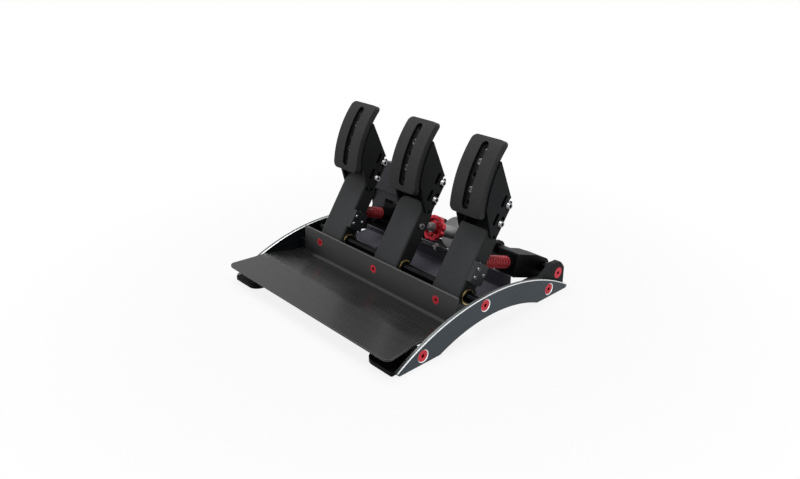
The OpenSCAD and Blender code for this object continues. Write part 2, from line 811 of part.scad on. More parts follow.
module arm(x, plate_len, top_r) {
    inner = arm_half_w - arm_t;
    wall = [
        [-arm_front, 0], [-arm_front, plate_len], [arm_neck_w, plate_len + 10], [arm_neck_w, arm_wall_len],
        [arm_upper_back, neck_back_u], [arm_upper_back, arm_narrow_u], [arm_back, arm_taper_u],
        [arm_back, 0]
    ];
    section = [
        [-arm_half_w, -arm_front], [arm_half_w, -arm_front], [arm_half_w, arm_back], [inner, arm_back],
        [inner, arm_t - arm_front], [-inner, arm_t - arm_front], [-inner, arm_back], [-arm_half_w, arm_back]
    ];
    front = [
        [-arm_half_w, arm_foot_u], [arm_half_w, arm_foot_u], [arm_half_w, plate_len], [-arm_half_w, plate_len]
    ];
    neck = [
        [arm_upper_back, neck_from_u], [neck_front_w, neck_from_u],
        [neck_front_w, neck_front_u], neck_peak, [arm_upper_back, neck_back_u]
    ];
    color(black) at_origin() on_arm(x) difference() {
        union() {
            difference() {
                intersection() {
                    translate([0, 0, -2 * arm_foot_r]) linear_extrude(arm_wall_len + 2 * arm_foot_r)
                        polygon(rounded(section, [arm_edge_r, arm_edge_r, 0, 0, 1, 1, 0, 0]));
                    yz(-arm_half_w, arm_half_w) {
                        polygon(rounded(wall, [0, 4, 4, 6, 6, 6, 12, 0]));
                        translate([arm_foot_w, 0]) circle(arm_foot_r);
                        translate([-arm_front, arm_foot_u]) square([arm_t, past - arm_foot_u]);
                    }
                }
                translate([0, arm_t + 1 - arm_front, 0]) rotate([90, 0, 0]) linear_extrude(arm_t + 1 + past)
                    difference() {
                        translate([-arm_w, plate_len / 2]) square([2 * arm_w, arm_wall_len]);
                        polygon(rounded(front, [2, 2, top_r, top_r]));
                    }
            }
            for (s = [0, 1]) mirror([s, 0, 0]) yz(inner, arm_half_w) polygon(rounded(neck, [0, 4, 4, 4, 0]));
        }
        rod_x(bush_r + run_gap, -arm_w, arm_w, [0, 0]);
        rod_x(strut_pin_d / 2 + run_gap, -arm_w, arm_w, [pin_w, x == brake_x ? brake_pin_u : strut_pin_u]);
        for (u = bolt_us) rod_x(bolt_r + hole_gap, -arm_w, arm_w, [bolt_w, u]);
    }
}

module face_bracket(x) {
    outline = [bracket_front, bracket_nose, bracket_top, bracket_rear, bracket_heel, bracket_tip];
    outer = arm_half_w + bracket_t;
    color(black) at_origin() difference() {
        on_arm(x) difference() {
            yz(-outer, outer) intersection() {
                polygon(rounded(outline, [3, 0, 0, 9, 8, 7]));
                translate(face_axis) circle(web_r, $fn = 96);
            }
            yz(-arm_half_w, arm_half_w) difference() {
                translate([-2 * face_len, 0]) square(4 * face_len);
                bracket_web();
            }
            for (w = [bolt_w, second_slot_w]) for (u = bolt_us) yz(-outer - past, outer + past)
                translate([w, u + 2]) slot(2 * (bolt_r + hole_gap), slot_len);
            rod_x(tip_hole_r, -outer - past, outer + past, tip_hole);
        }
        face_hole_places(x, [-1, 1]) cylinder(r = face_screw_r + hole_gap, h = 60, center = true);
    }
}

// Section of the web behind a face, in the arm's plane
module bracket_web() {
    intersection() {
        translate(face_axis) difference() {
            circle(web_r + past, $fn = 96);
            circle(web_r - bracket_t, $fn = 96);
        }
        translate([face_mid_w, face_mid_u]) rotate(face_tilt)
            translate([-face_len / 2, web_from]) square([face_len, web_to - web_from]);
    }
}

// Frames of the holes along a face, Z out of its front
module face_hole_places(x, steps) {
    hole_angle = face_hole_step / face_r * 180 / PI;
    on_face(x) translate([0, face_axis_w, 0]) for (i = steps)
        rotate([i * hole_angle, 0, 0]) translate([0, -face_r, 0]) rotate([90, 0, 0]) children();
}

module face(x) {
    half = [face_w / 2, face_len / 2];
    outline = [-half, [half[0], -half[1]], half, [-half[0], half[1]]];
    groove_len = 4 * face_hole_step + groove_w + 2;
    color(black) at_origin() difference() {
        on_face(x) intersection() {
            yz(-face_w / 2, face_w / 2) translate([face_axis_w, 0]) difference() {
                circle(face_r, $fn = 96);
                circle(face_r - face_t, $fn = 96);
            }
            translate([0, 4 * face_t, 0]) rotate([90, 0, 0]) linear_extrude(8 * face_t)
                polygon(rounded(outline, [for (i = [0:3]) face_corner_r]));
        }
        on_face(x) difference() {
            translate([0, 4 * face_t, 0]) rotate([90, 0, 0]) linear_extrude(8 * face_t)
                slot(groove_w, groove_len);
            rod_x(face_r - groove_depth, -face_w, face_w, [face_axis_w, 0], $fn = 96);
        }
        face_hole_places(x, [-2:2]) translate([0, 0, -face_sink])
            countersink(face_screw_r, face_screw_head_r + seat_gap, 2 * face_t);
    }
}

module face_screws(x) {
    color(steel) at_origin() face_hole_places(x, [-1, 1]) translate([0, 0, -face_sink])
        countersunk(face_screw_r, face_screw_head_r, face_t - face_sink + bracket_t + 2);
}

module bracket_bolts(x) {
    outer = arm_half_w + bracket_t;
    inner = arm_half_w - arm_t;
    color(steel) at_origin() on_arm(x) for (s = [0, 1]) mirror([s, 0, 0]) for (u = bolt_us) {
        difference() {
            union() {
                rod_x(bolt_r, inner - nut_h - 1, outer + past, [bolt_w, u]);
                translate([outer, bolt_w, u]) rotate([0, 90, 0])
                    cylinder(r1 = bolt_head_r, r2 = bolt_head_r * 0.72, h = bolt_head_h);
            }
            translate([outer + 0.5, bolt_w, u]) rotate([0, 90, 0])
                cylinder(r = 2.8, h = bolt_head_h, $fn = 6);
        }
        difference() {
            translate([inner - nut_h, bolt_w, u]) rotate([0, 90, 0]) cylinder(r = 5, h = nut_h, $fn = 6);
            rod_x(bolt_r + run_gap, 0, arm_half_w, [bolt_w, u]);
        }
    }
}

module bushes(x) {
    inner = arm_half_w - arm_t;
    color(brass) at_origin() translate([x, 0, 0]) for (s = [0, 1]) mirror([s, 0, 0]) difference() {
        union() {
            rod_x(bush_r, inner, arm_half_w + past, axle);
            rod_x(bush_flange_r, arm_half_w, arm_half_w + bush_flange_t, axle);
        }
        rod_x(axle_d / 2 + run_gap, 0, arm_w, axle);
    }
}

module strut_pin(x, u) {
    r = strut_pin_d / 2;
    head_h = 3;
    heads = x == brake_x ? [0, 1] : [1];
    right_end = x == brake_x ? arm_half_w + past : arm_half_w - seat_gap;
    color(steel) at_origin() on_arm(x) difference() {
        union() {
            rod_x(r, -arm_half_w - past, right_end, [pin_w, u]);
            for (s = heads) mirror([s, 0, 0]) translate([arm_half_w, pin_w, u]) rotate([0, 90, 0])
                cylinder(r1 = r + 0.9, r2 = r + 0.5, h = head_h);
        }
        for (s = heads) mirror([s, 0, 0]) translate([arm_half_w + head_h - 1.5, pin_w, u])
            rotate([0, 90, 0]) cylinder(r = 2.5, h = head_h, $fn = 6);
    }
}

// Struts

module housing(x, collar_len) {
    top = housing_h / 2;
    outline = [
        [-top, housing_from], [top, housing_from], [top, strut_len - 24], [ear_r, strut_len],
        [-ear_r, strut_len], [-top, strut_len - 24]
    ];
    color(black) at_origin() on_strut(x, clutch_pin) difference() {
        union() {
            yz(-housing_w / 2, housing_w / 2) {
                polygon(rounded(outline, [3, 3, 8, 0, 0, 8]));
                translate([0, strut_len]) circle(ear_r);
            }
            translate([0, 0, housing_from - collar_len]) cylinder(r = seat_r, h = collar_len + past);
        }
        translate([0, 0, housing_from - collar_len - past])
            cylinder(r = rod_d / 2 + run_gap, h = rod_in_housing + 20 + collar_len + past);
        rod_x(tube_d / 2 + run_gap, -housing_w, housing_w, [0, strut_len]);
    }
}

module rod_eye(shank_r) {
    difference() {
        union() {
            rod_x(eye_r, -eye_w / 2, eye_w / 2, [0, 0]);
            cylinder(r = shank_r, h = eye_r + 4);
        }
        rod_x(strut_pin_d / 2 + pin_gap, -eye_w, eye_w, [0, 0]);
    }
}

module strut_rod(x) {
    color(steel) at_origin() on_strut(x, clutch_pin) {
        rod_eye(rod_d / 2);
        translate([0, 0, eye_r + 3])
            cylinder(r = rod_d / 2, h = housing_from + rod_in_housing - eye_r - 3);
    }
}

module spring_seat(x) {
    color(black) at_origin() on_strut(x, clutch_pin) difference() {
        union() {
            translate([0, 0, seat_from]) cylinder(r = seat_r, h = seat_t);
            translate([0, 0, seat_from - 3]) cylinder(r = rod_d / 2 + 3, h = 4, $fn = 6);
        }
        cylinder(r = rod_d / 2 + run_gap, h = strut_len);
    }
}

module spring(x, path) {
    color(red) at_origin() on_strut(x, clutch_pin) swept_tube(path, spring_wire_d / 2, 6, [1, 0, 0]);
}

module brake_cylinder() {
    r = cylinder_d / 2;
    top = cylinder_from + cylinder_len;
    profile = [
        [0, cylinder_from], [r - 1.5, cylinder_from], [r, cylinder_from + 1.5],
        [r, top - r + cylinder_end_r], [cylinder_end_r, top], [0, top]
    ];
    color(slate) at_origin() on_strut(brake_x, brake_pin) difference() {
        rotate_extrude($fn = 72) polygon(profile);
        translate([0, 0, cylinder_from - past]) cylinder(d = piston_d + 2 * run_gap, h = 27 + past);
        rod_x(tube_d / 2 + run_gap, -cylinder_d, cylinder_d, [0, brake_len]);
        rod_x(wire_d / 2 + 0.7, r - 5, cylinder_d, [0, brake_len - cylinder_wire_ahead]);
    }
}

module brake_rod() {
    knob_to = knob_from + knob_t;
    color(slate) at_origin() on_strut(brake_x, brake_pin) {
        rod_eye(shank_r);
        translate([0, 0, eye_r + 3]) cylinder(r = shank_r, h = knob_to - eye_r);
        translate([0, 0, knob_from - side_gap - 2.5]) cylinder(r = shank_r + 1.5, h = 2.5);
        translate([0, 0, knob_to + side_gap])
            cylinder(d = piston_d, h = cylinder_from + 14 - knob_to - side_gap);
    }
}

module brake_knob() {
    lobes = 8;
    scallop_r = knob_d * 0.14;
    rim_r = knob_d / 2 - knob_rim_w;
    color(red) at_origin() on_strut(brake_x, brake_pin) translate([0, 0, knob_from]) difference() {
        cylinder(d = knob_d, h = knob_t);
        translate([0, 0, -past]) cylinder(r = shank_r + run_gap, h = knob_t + 2 * past);
        translate([0, 0, -past]) difference() {
            cylinder(r = rim_r, h = knob_t / 2 + past);
            cylinder(r = knob_hub_r, h = knob_t);
        }
        for (i = [0:lobes - 1]) rotate(360 / lobes * i) {
            translate([knob_d / 2 + scallop_r * 0.65, 0, -past])
                cylinder(r = scallop_r, h = knob_t + 2 * past);
            translate([(rim_r + knob_hub_r) / 2, 0, -past])
                cylinder(r = knob_hole_r, h = knob_t + 2 * past);
        }
    }
}

// Electronics

module box_shell(x0, x1, s0, s1, v0, v1) {
    translate([x0, -v1, s0]) cube([x1 - x0, v1 - v0, s1 - s0]);
}

box_to = box_from + box_depth;
tray_v = box_v + tray_h;
cover_gap = 0.2;
cover_drop = 3;
module control_box_tray() {
    color(pan_grey) at_origin() on_strut(0, clutch_pin) difference() {
        union() {
            box_shell(box_left, box_right, box_from, box_to, box_v, tray_v);
            box_shell(box_left, apron_right, box_from, box_from + box_wall, 0, box_v + past);
        }
        box_shell(box_left + box_wall, box_right - box_wall, box_from + box_wall, box_to - box_wall,
            box_v + box_wall, tray_v + past);
        for (x = tray_wire_xs) translate([x, past - box_v, tray_wire_s]) rotate([90, 0, 0])
            cylinder(r = wire_d / 2 + 2 * hole_gap, h = box_wall + 2 * past);
    }
}

socket_w = 13;
socket_h = 11;
socket_count = 4;
socket_step = 20;
socket_xs = [for (i = [0:socket_count - 1])
    (box_left + box_right) / 2 + (i - (socket_count - 1) / 2) * socket_step];
board_v = tray_v + 3;
module control_box_cover() {
    x0 = box_left - cover_lip;
    x1 = box_right + cover_lip;
    s0 = box_from - cover_lip;
    s1 = box_to + cover_lip;
    wall = cover_lip + box_wall - 1;
    color(pan_grey) at_origin() on_strut(0, clutch_pin) difference() {
        box_shell(x0, x1, s0, s1, tray_v - cover_drop, box_v + box_h);
        box_shell(box_left - cover_gap, box_right + cover_gap, box_from - cover_gap, box_to + cover_gap,
            tray_v - cover_drop - past, tray_v);
        box_shell(x0 + wall, x1 - wall, s0 + wall, s1 - wall, tray_v - past, box_v + box_h - box_wall);
        for (x = socket_xs) box_shell(x - socket_w / 2 - cover_gap, x + socket_w / 2 + cover_gap,
            s1 - wall - past, s1 + past,
            board_v + board_t / 2 - cover_gap, board_v + board_t + socket_h + cover_gap);
    }
}

module circuit_board() {
    foot = 4;
    color(board_green) at_origin() on_strut(0, clutch_pin) {
        box_shell(box_left + box_wall, box_right - box_wall, box_from + box_wall, box_to - box_wall,
            board_v, board_v + board_t);
        for (x = [box_left + box_wall + foot, box_right - box_wall - foot])
            for (s = [box_from + box_wall + foot, box_to - box_wall - foot])
                translate([x, -board_v, s]) rotate([-90, 0, 0])
                    cylinder(d = foot, h = board_v - box_v - box_wall);
        for (x = socket_xs) box_shell(x - socket_w / 2, x + socket_w / 2,
            box_to - 16, box_to + cover_lip - 0.5, board_v + board_t / 2, board_v + board_t + socket_h);
    }
}

module control_box_bracket() {
    outer_x = box_left - box_bracket_t;
    outline = [
        tube + [-57, 1], tube + [-25, -17], tube + [-13, -15], strut_point(clutch_pin, box_to - 2, box_v + 1),
        strut_point(clutch_pin, box_to - 2, tray_v - cover_drop - 0.5),
        strut_point(clutch_pin, box_from - 6, tray_v - cover_drop - 0.5),
        strut_point(clutch_pin, box_from - 6, box_v + 1)
    ];
    color(black) at_origin() yz(outer_x, box_left) polygon(rounded(outline, [4, 4, 3, 0, 2, 2, 0]));
}

module sensor_box(x) {
    outline = [
        [sensor_w0, sensor_u0], [sensor_w1, sensor_u0], [sensor_w1, sensor_u1], [sensor_w0, sensor_u1]
    ];
    outer = arm_half_w + sensor_t;
    color(slate) at_origin() on_arm(x) difference() {
        yz(arm_half_w, outer) polygon(rounded(outline, [1.5, 4, 4, 1.5]));
        for (p = sensor_screw_at) rod_x(sensor_screw_r + hole_gap, outer - 6, outer + past, p);
        translate([sensor_wire_x, sensor_wire_w, sensor_u0 - past])
            cylinder(r = wire_d / 2 + 2 * hole_gap, h = sensor_wire_in + 2 * past);
    }
}

module sensor_screws(x) {
    outer = arm_half_w + sensor_t;
    color(steel) at_origin() on_arm(x) for (p = sensor_screw_at) difference() {
        union() {
            rod_x(sensor_screw_r, outer - 5, outer + 1, p);
            translate([outer, p[0], p[1]]) rotate([0, 90, 0]) cylinder(r1 = 2.8, r2 = 2, h = 1.8);
        }
        translate([outer + 0.8, p[0], p[1]]) rotate([0, 90, 0]) cylinder(r = 1.2, h = 2, $fn = 6);
    }
}

module wire(route) {
    color(black) at_origin() swept_tube(curve(route), wire_d / 2, 8, [1, 0, 0]);
}

tie_w = 4;
tie_t = 0.8;
tie_xs = [6, -30];
module wire_ties() {
    r = wire_d + 0.2;
    color("white") at_origin() for (x = tie_xs) translate([x, (lip_y + loom_y) / 2, loom_z])
        rotate([0, 90, 0]) difference() {
            cylinder(r = r + tie_t, h = tie_w, center = true);
            cylinder(r = r, h = tie_w + past, center = true);
        }
}

side_plate_left();
side_plate_right();
heel_plate();
base_pan();
pan_hangers();
pivot_axle();
axle_rings();
rear_tube();
rear_bracket_left();
rear_bracket_right();
foot_bracket_left();
foot_bracket_right();
side_plate_screws();
heel_plate_screws();
rear_bracket_screws();
control_box_tray();
control_box_cover();
control_box_bracket();
circuit_board();
sensor_box(clutch_x);  // clutch_sensor
sensor_screws(clutch_x);  // clutch_sensor_screws
wire(clutch_wire_route);  // clutch_sensor_wire
sensor_box(throttle_x);  // throttle_sensor
sensor_screws(throttle_x);  // throttle_sensor_screws
wire(throttle_wire_route);  // throttle_sensor_wire
wire(brake_wire_route);  // brake_sensor_wire
wire_ties();
arm(clutch_x, clutch_plate_len, arm_top_r);  // clutch_arm
face_bracket(clutch_x);  // clutch_face_bracket
face(clutch_x);  // clutch_face
face_screws(clutch_x);  // clutch_face_screws
bracket_bolts(clutch_x);  // clutch_bracket_bolts
bushes(clutch_x);  // clutch_bushes
strut_pin(clutch_x, strut_pin_u);  // clutch_strut_pin
arm(brake_x, brake_plate_len, brake_top_r);  // brake_arm
face_bracket(brake_x);  // brake_face_bracket
face(brake_x);  // brake_face
face_screws(brake_x);  // brake_face_screws
bracket_bolts(brake_x);  // brake_bracket_bolts
bushes(brake_x);  // brake_bushes
strut_pin(brake_x, brake_pin_u);  // brake_strut_pin
arm(throttle_x, throttle_plate_len, arm_top_r);  // throttle_arm
face_bracket(throttle_x);  // throttle_face_bracket
face(throttle_x);  // throttle_face
face_screws(throttle_x);  // throttle_face_screws
bracket_bolts(throttle_x);  // throttle_bracket_bolts
bushes(throttle_x);  // throttle_bushes
strut_pin(throttle_x, strut_pin_u);  // throttle_strut_pin
housing(clutch_x + strut_offset, clutch_collar_len);  // clutch_housing
strut_rod(clutch_x + strut_offset);  // clutch_rod
spring_seat(clutch_x + strut_offset);  // clutch_spring_seat
spring(clutch_x + strut_offset, clutch_spring_path);  // clutch_spring
housing(throttle_x + strut_offset, throttle_collar_len);  // throttle_housing
strut_rod(throttle_x + strut_offset);  // throttle_rod
spring_seat(throttle_x + strut_offset);  // throttle_spring_seat
spring(throttle_x + strut_offset, throttle_spring_path);  // throttle_spring
brake_cylinder();
brake_rod();
brake_knob();
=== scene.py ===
"""Looks of a three-pedal set for driving simulators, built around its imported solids."""
import math

import bmesh
import bpy
from mathutils import Matrix, Vector


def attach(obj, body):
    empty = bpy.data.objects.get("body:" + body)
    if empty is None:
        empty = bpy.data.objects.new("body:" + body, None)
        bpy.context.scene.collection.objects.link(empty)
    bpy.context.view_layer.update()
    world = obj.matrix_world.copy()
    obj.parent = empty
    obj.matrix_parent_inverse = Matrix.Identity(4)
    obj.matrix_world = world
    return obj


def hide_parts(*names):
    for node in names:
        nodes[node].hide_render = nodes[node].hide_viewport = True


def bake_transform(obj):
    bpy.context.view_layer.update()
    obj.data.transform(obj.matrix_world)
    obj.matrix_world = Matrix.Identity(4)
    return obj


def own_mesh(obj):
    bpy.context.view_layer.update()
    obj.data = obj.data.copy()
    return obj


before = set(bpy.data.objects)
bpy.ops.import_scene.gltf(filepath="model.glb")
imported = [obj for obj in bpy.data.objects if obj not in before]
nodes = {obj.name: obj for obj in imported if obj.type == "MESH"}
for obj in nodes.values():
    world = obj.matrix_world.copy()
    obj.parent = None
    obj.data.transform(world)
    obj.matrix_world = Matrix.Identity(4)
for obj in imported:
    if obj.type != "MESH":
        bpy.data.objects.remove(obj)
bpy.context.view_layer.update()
scene = bpy.context.scene
MM = 0.001
PEDALS = ("clutch", "brake", "throttle")
SPRUNG = ("clutch", "throttle")


def axes_matrix(x, y, z, at):
    """The matrix of a frame with these axes and this origin."""
    return Matrix([(x[i], y[i], z[i], at[i]) for i in range(3)] + [(0, 0, 0, 1)])


# Camera, from the picture's frame of 800 by 479

PICTURE_W = 800
FOCAL_PIXELS = 745.6
CAMERA_AT = (0.7492, -0.6683, 0.5263)
CAMERA_RIGHT = (0.6748, 0.7380, -0.0105)
CAMERA_FORWARD = (-0.6755, 0.6118, -0.4117)


def make_camera():
    """A camera where the picture was taken from."""
    right = Vector(CAMERA_RIGHT).normalized()
    forward = Vector(CAMERA_FORWARD).normalized()
    data = bpy.data.cameras.new("camera")
    data.sensor_fit = "HORIZONTAL"
    data.sensor_width = 36.0
    data.lens = FOCAL_PIXELS / PICTURE_W * data.sensor_width
    data.clip_start, data.clip_end = 0.01, 50
    cam = bpy.data.objects.new("camera", data)
    cam.matrix_world = axes_matrix(right, right.cross(forward), -forward, CAMERA_AT)
    scene.collection.objects.link(cam)
    scene.camera = cam


make_camera()
scene.view_settings.view_transform = "Standard"


# Places on the object, in the source's millimetres: Y from the front tips of the side plates

ORIGIN_Y = 163.5
AXLE = (158.0, 39.0)
TUBE = (325.0, 27.0)
ARM_ANGLE = math.radians(55.5)
PEDAL_X = {"clutch": -130.0, "brake": 0.0, "throttle": 125.0}
STRUT_X = {"clutch": -121.0, "throttle": 134.0}
FLANGE_Y = 119.5
PLATE_INSIDE = 179.5
GROOVE_HALF_W, GROOVE_R = 6.4, 149.4


def arm_point(w, u):
    """Y and Z of a point w behind an arm's axis and u up along it."""
    sin, cos = math.sin(ARM_ANGLE), math.cos(ARM_ANGLE)
    return AXLE[0] + w * sin + u * cos, AXLE[1] - w * cos + u * sin


STRUT_PIN = arm_point(-3, 46)
BRAKE_PIN = arm_point(-3, 64.5)
FACE_AXIS = arm_point(83.52, 175.1)
STRUT_LEN = math.dist(STRUT_PIN, TUBE)
BRAKE_LEN = math.dist(BRAKE_PIN, TUBE)


def place(x, y, z):
    """A point of the source, in the frame's metres."""
    return Vector((x, y - ORIGIN_Y, z)) * MM


def along_strut(pin):
    """The direction of a strut, from its pin to the rear tube."""
    return Vector((0, TUBE[0] - pin[0], TUBE[1] - pin[1])).normalized()


def strut_point(pin, s, v):
    """Y and Z of a point s along a strut from its pin and v above it."""
    along = along_strut(pin)
    return pin[0] + s * along.y - v * along.z, pin[1] + s * along.z + v * along.y


def strut_frame(x, pin):
    """Matrix of a strut's own frame, in metres: Z runs from the pin to the rear tube."""
    x_axis, z_axis = Vector((1, 0, 0)), along_strut(pin)
    return axes_matrix(x_axis, z_axis.cross(x_axis), z_axis, place(x, *pin))


# Materials

def ranged(tree, value, start, stop, low, high):
    """A value taken from one range to another."""
    made = tree.nodes.new("ShaderNodeMapRange")
    for socket, number in zip(("From Min", "From Max", "To Min", "To Max"), (start, stop, low, high)):
        made.inputs[socket].default_value = number
    tree.links.new(value, made.inputs["Value"])
    return made.outputs["Result"]


def joined(tree, operation, a, b):
    """Two values put together by a math node."""
    made = tree.nodes.new("ShaderNodeMath")
    made.operation = operation
    tree.links.new(a, made.inputs[0])
    tree.links.new(b, made.inputs[1])
    return made.outputs[0]


class Finish:
    """A material with a principled shader and short calls for its nodes. Lengths are in millimetres."""

    def __init__(self, name, **values):
        self.material = bpy.data.materials.new(name)
        self.material.use_nodes = True
        self.tree = self.material.node_tree
        self.shader = self.tree.nodes["Principled BSDF"]
        for socket, value in values.items():
            self.shader.inputs[socket.replace("_", " ")].default_value = value
        self.coordinates = self.node("ShaderNodeTexCoord").outputs["Object"]

    def node(self, kind, **settings):
        made = self.tree.nodes.new(kind)
        for name, value in settings.items():
            setattr(made, name, value)
        return made

    def link(self, output, socket):
        self.tree.links.new(output, socket)

    def mapped(self, scale):
        """The object's coordinates, scaled by axis."""
        mapping = self.node("ShaderNodeMapping")
        mapping.inputs["Scale"].default_value = scale
        self.link(self.coordinates, mapping.inputs["Vector"])
        return mapping.outputs["Vector"]

    def noise(self, scale, detail=3.0, stretch=(1, 1, 1), roughness=0.55):
        """Noise over the object, finer by the stretch of each axis."""
        made = self.node("ShaderNodeTexNoise")
        made.inputs["Scale"].default_value = scale
        made.inputs["Detail"].default_value = detail
        made.inputs["Roughness"].default_value = roughness
        self.link(self.mapped(stretch), made.inputs["Vector"])
        return made.outputs["Fac"]

    def ramp(self, factor, low, high, start=0.3, stop=0.7):
        """A tone that goes from low to high while the factor goes from start to stop."""
        made = self.node("ShaderNodeValToRGB")
        first, last = made.color_ramp.elements
        first.position, last.position = start, stop
        first.color, last.color = (*low, 1), (*high, 1)
        self.link(factor, made.inputs["Fac"])
        return made.outputs["Color"]

    def span(self, factor, low, high, start=0.0, stop=1.0):
        """A value that goes from low to high while the factor goes from start to stop."""
        return ranged(self.tree, factor, start, stop, low, high)

    def mix(self, factor, a, b):
        made = self.node("ShaderNodeMix", data_type="RGBA")
        self.link(factor, made.inputs["Factor"])
        for value, socket in ((a, made.inputs[6]), (b, made.inputs[7])):
            if isinstance(value, tuple):
                socket.default_value = (*value, 1)
            else:
                self.link(value, socket)
        return made.outputs[2]

    def mix_value(self, factor, a, b):
        made = self.node("ShaderNodeMix", data_type="FLOAT")
        self.link(factor, made.inputs["Factor"])
        for value, socket in ((a, made.inputs[2]), (b, made.inputs[3])):
            if isinstance(value, (int, float)):
                socket.default_value = value
            else:
                self.link(value, socket)
        return made.outputs[0]

    def axis(self, name):
        """One of the object's coordinates."""
        parts = self.node("ShaderNodeSeparateXYZ")
        self.link(self.coordinates, parts.inputs[0])
        return parts.outputs[name]

    def math(self, operation, a, b=None):
        made = self.node("ShaderNodeMath", operation=operation)
        for value, socket in zip((a, b), made.inputs):
            if isinstance(value, (int, float)):
                socket.default_value = value
            elif value is not None:
                self.link(value, socket)
        return made.outputs[0]

    def blended(self, a, share, b):
        """A share of one grain and the rest of another."""
        return self.math("ADD", self.math("MULTIPLY", a, share), self.math("MULTIPLY", b, 1 - share))

    def facing(self):
        """The direction that a face points in, by axis."""
        parts = self.node("ShaderNodeSeparateXYZ")
        self.link(self.node("ShaderNodeNewGeometry").outputs["True Normal"], parts.inputs[0])
        return parts.outputs

    def wear_and_highlight(self, edges, share, tone, wear_highlight_tone):
        """A tone, with some of a paler one along the edges: partly wear, partly painted highlight."""
        return self.mix(self.math("MULTIPLY", edges, share), tone, wear_highlight_tone)

    def eased_edges(self, radius):
        """Rounded edges for the light, and a mask that is 1 on the edges."""
        bevel = self.node("ShaderNodeBevel", samples=4)
        bevel.inputs["Radius"].default_value = radius * MM
        geometry = self.node("ShaderNodeNewGeometry")
        dot = self.node("ShaderNodeVectorMath", operation="DOT_PRODUCT")
        self.link(bevel.outputs["Normal"], dot.inputs[0])
        self.link(geometry.outputs["Normal"], dot.inputs[1])
        self.normal = bevel.outputs["Normal"]
        return self.span(dot.outputs["Value"], 1, 0, 0.82, 0.99)

    def open_faces(self, reach):
        """1 on open faces, falling to 0 inside sockets and between lobes."""
        made = self.node("ShaderNodeAmbientOcclusion", samples=8, only_local=True)
        made.inputs["Distance"].default_value = reach * MM
        return self.span(made.outputs["AO"], 0, 1, 0.35, 0.85)

    def bump(self, height, strength, depth):
        made = self.node("ShaderNodeBump")
        made.inputs["Strength"].default_value = strength
        made.inputs["Distance"].default_value = depth * MM
        self.link(height, made.inputs["Height"])
        if hasattr(self, "normal"):
            self.link(self.normal, made.inputs["Normal"])
        self.link(made.outputs["Normal"], self.shader.inputs["Normal"])

    def base(self, output):
        self.link(output, self.shader.inputs["Base Color"])

    def rough(self, output):
        self.link(output, self.shader.inputs["Roughness"])


def brushed_black(name, along, dark, light, gloss, flank_shade):
    """Black sheet brushed along one axis, with edges that carry wear and a painted highlight, and flanks that
    are duller and darkened by painted shade.
    """
    stretch = tuple(6 if axis == along else 900 for axis in "XYZ")
    finish = Finish(name, Metallic=0.35, Anisotropic=0.4, Specular_IOR_Level=0.3)
    grain = finish.noise(1.0, 2.0, stretch)
    cloud = finish.noise(9.0, 2.0)
    edges = finish.eased_edges(0.7)
    sideways, dull = 0.7, 0.62
    # Faces turned sideways take a darker tone: painted shade on the flanks.
    side = finish.math("GREATER_THAN", finish.math("ABSOLUTE", finish.facing()["X"]), sideways)
    tone = finish.mix(side, finish.ramp(grain, dark, light), flank_shade)
    finish.base(finish.wear_and_highlight(edges, 0.5, tone, (0.07, 0.07, 0.08)))
    satin = finish.span(finish.math("ADD", grain, cloud), gloss, gloss + 0.2, 0.7, 1.3)
    finish.rough(finish.mix_value(side, satin, dull))
    finish.bump(grain, 0.1, 0.2)
    return finish.material


def heel_finish():
    """Black sheet brushed across its width, where reflections smear; its upright flange is duller and painted
    paler, which is painted light.
    """
    finish = Finish("heel_sheet", Anisotropic=0.95, Specular_IOR_Level=0.4)
    across = finish.node("ShaderNodeTangent", direction_type="RADIAL", axis="X")
    finish.link(across.outputs[0], finish.shader.inputs["Tangent"])
    fine = finish.noise(1.0, 3.0, (9, 800, 800), 0.65)
    broad = finish.noise(1.0, 2.0, (5, 240, 240))
    streaks = finish.blended(fine, 0.85, broad)
    edges = finish.eased_edges(1.0)
    level = finish.ramp(streaks, (0.008, 0.008, 0.008), (0.014, 0.014, 0.0142), 0.32, 0.68)
    # Painted light: the upright flange takes a paler tone than the level sheet.
    upright = finish.ramp(streaks, (0.046, 0.046, 0.046), (0.056, 0.056, 0.056), 0.32, 0.68)
    bend, dull = place(0, FLANGE_Y, 0).y, 0.42
    flange = finish.span(finish.axis("Y"), 0, 1, bend - 2 * MM, bend + 1 * MM)
    tone = finish.mix(flange, level, upright)
    # The edges take a pale tone: some wear and a painted highlight line.
    finish.base(finish.wear_and_highlight(edges, 0.7, tone, (0.24, 0.24, 0.245)))
    finish.rough(finish.mix_value(flange, finish.span(streaks, 0.24, 0.31, 0.3, 0.7), dull))
    finish.bump(fine, 0.015, 0.2)
    return finish.material


def powder_coat(name, dark, light, gloss, grain_scale, edge_wear_highlight=(0.04, 0.04, 0.045), shine=0.25):
    """Grainy paint on sheet metal, with a paler tone on its edges that is partly wear, partly painted
    highlight.
    """
    finish = Finish(name, Specular_IOR_Level=shine)
    grain = finish.noise(grain_scale, 2.0)
    cloud = finish.noise(14.0, 3.0)
    edges = finish.eased_edges(0.8)
    finish.base(finish.wear_and_highlight(edges, 0.5, finish.ramp(cloud, dark, light), edge_wear_highlight))
    finish.rough(finish.span(grain, gloss, gloss + 0.18, 0.3, 0.7))
    finish.bump(grain, 0.25, 0.35)
    return finish.material


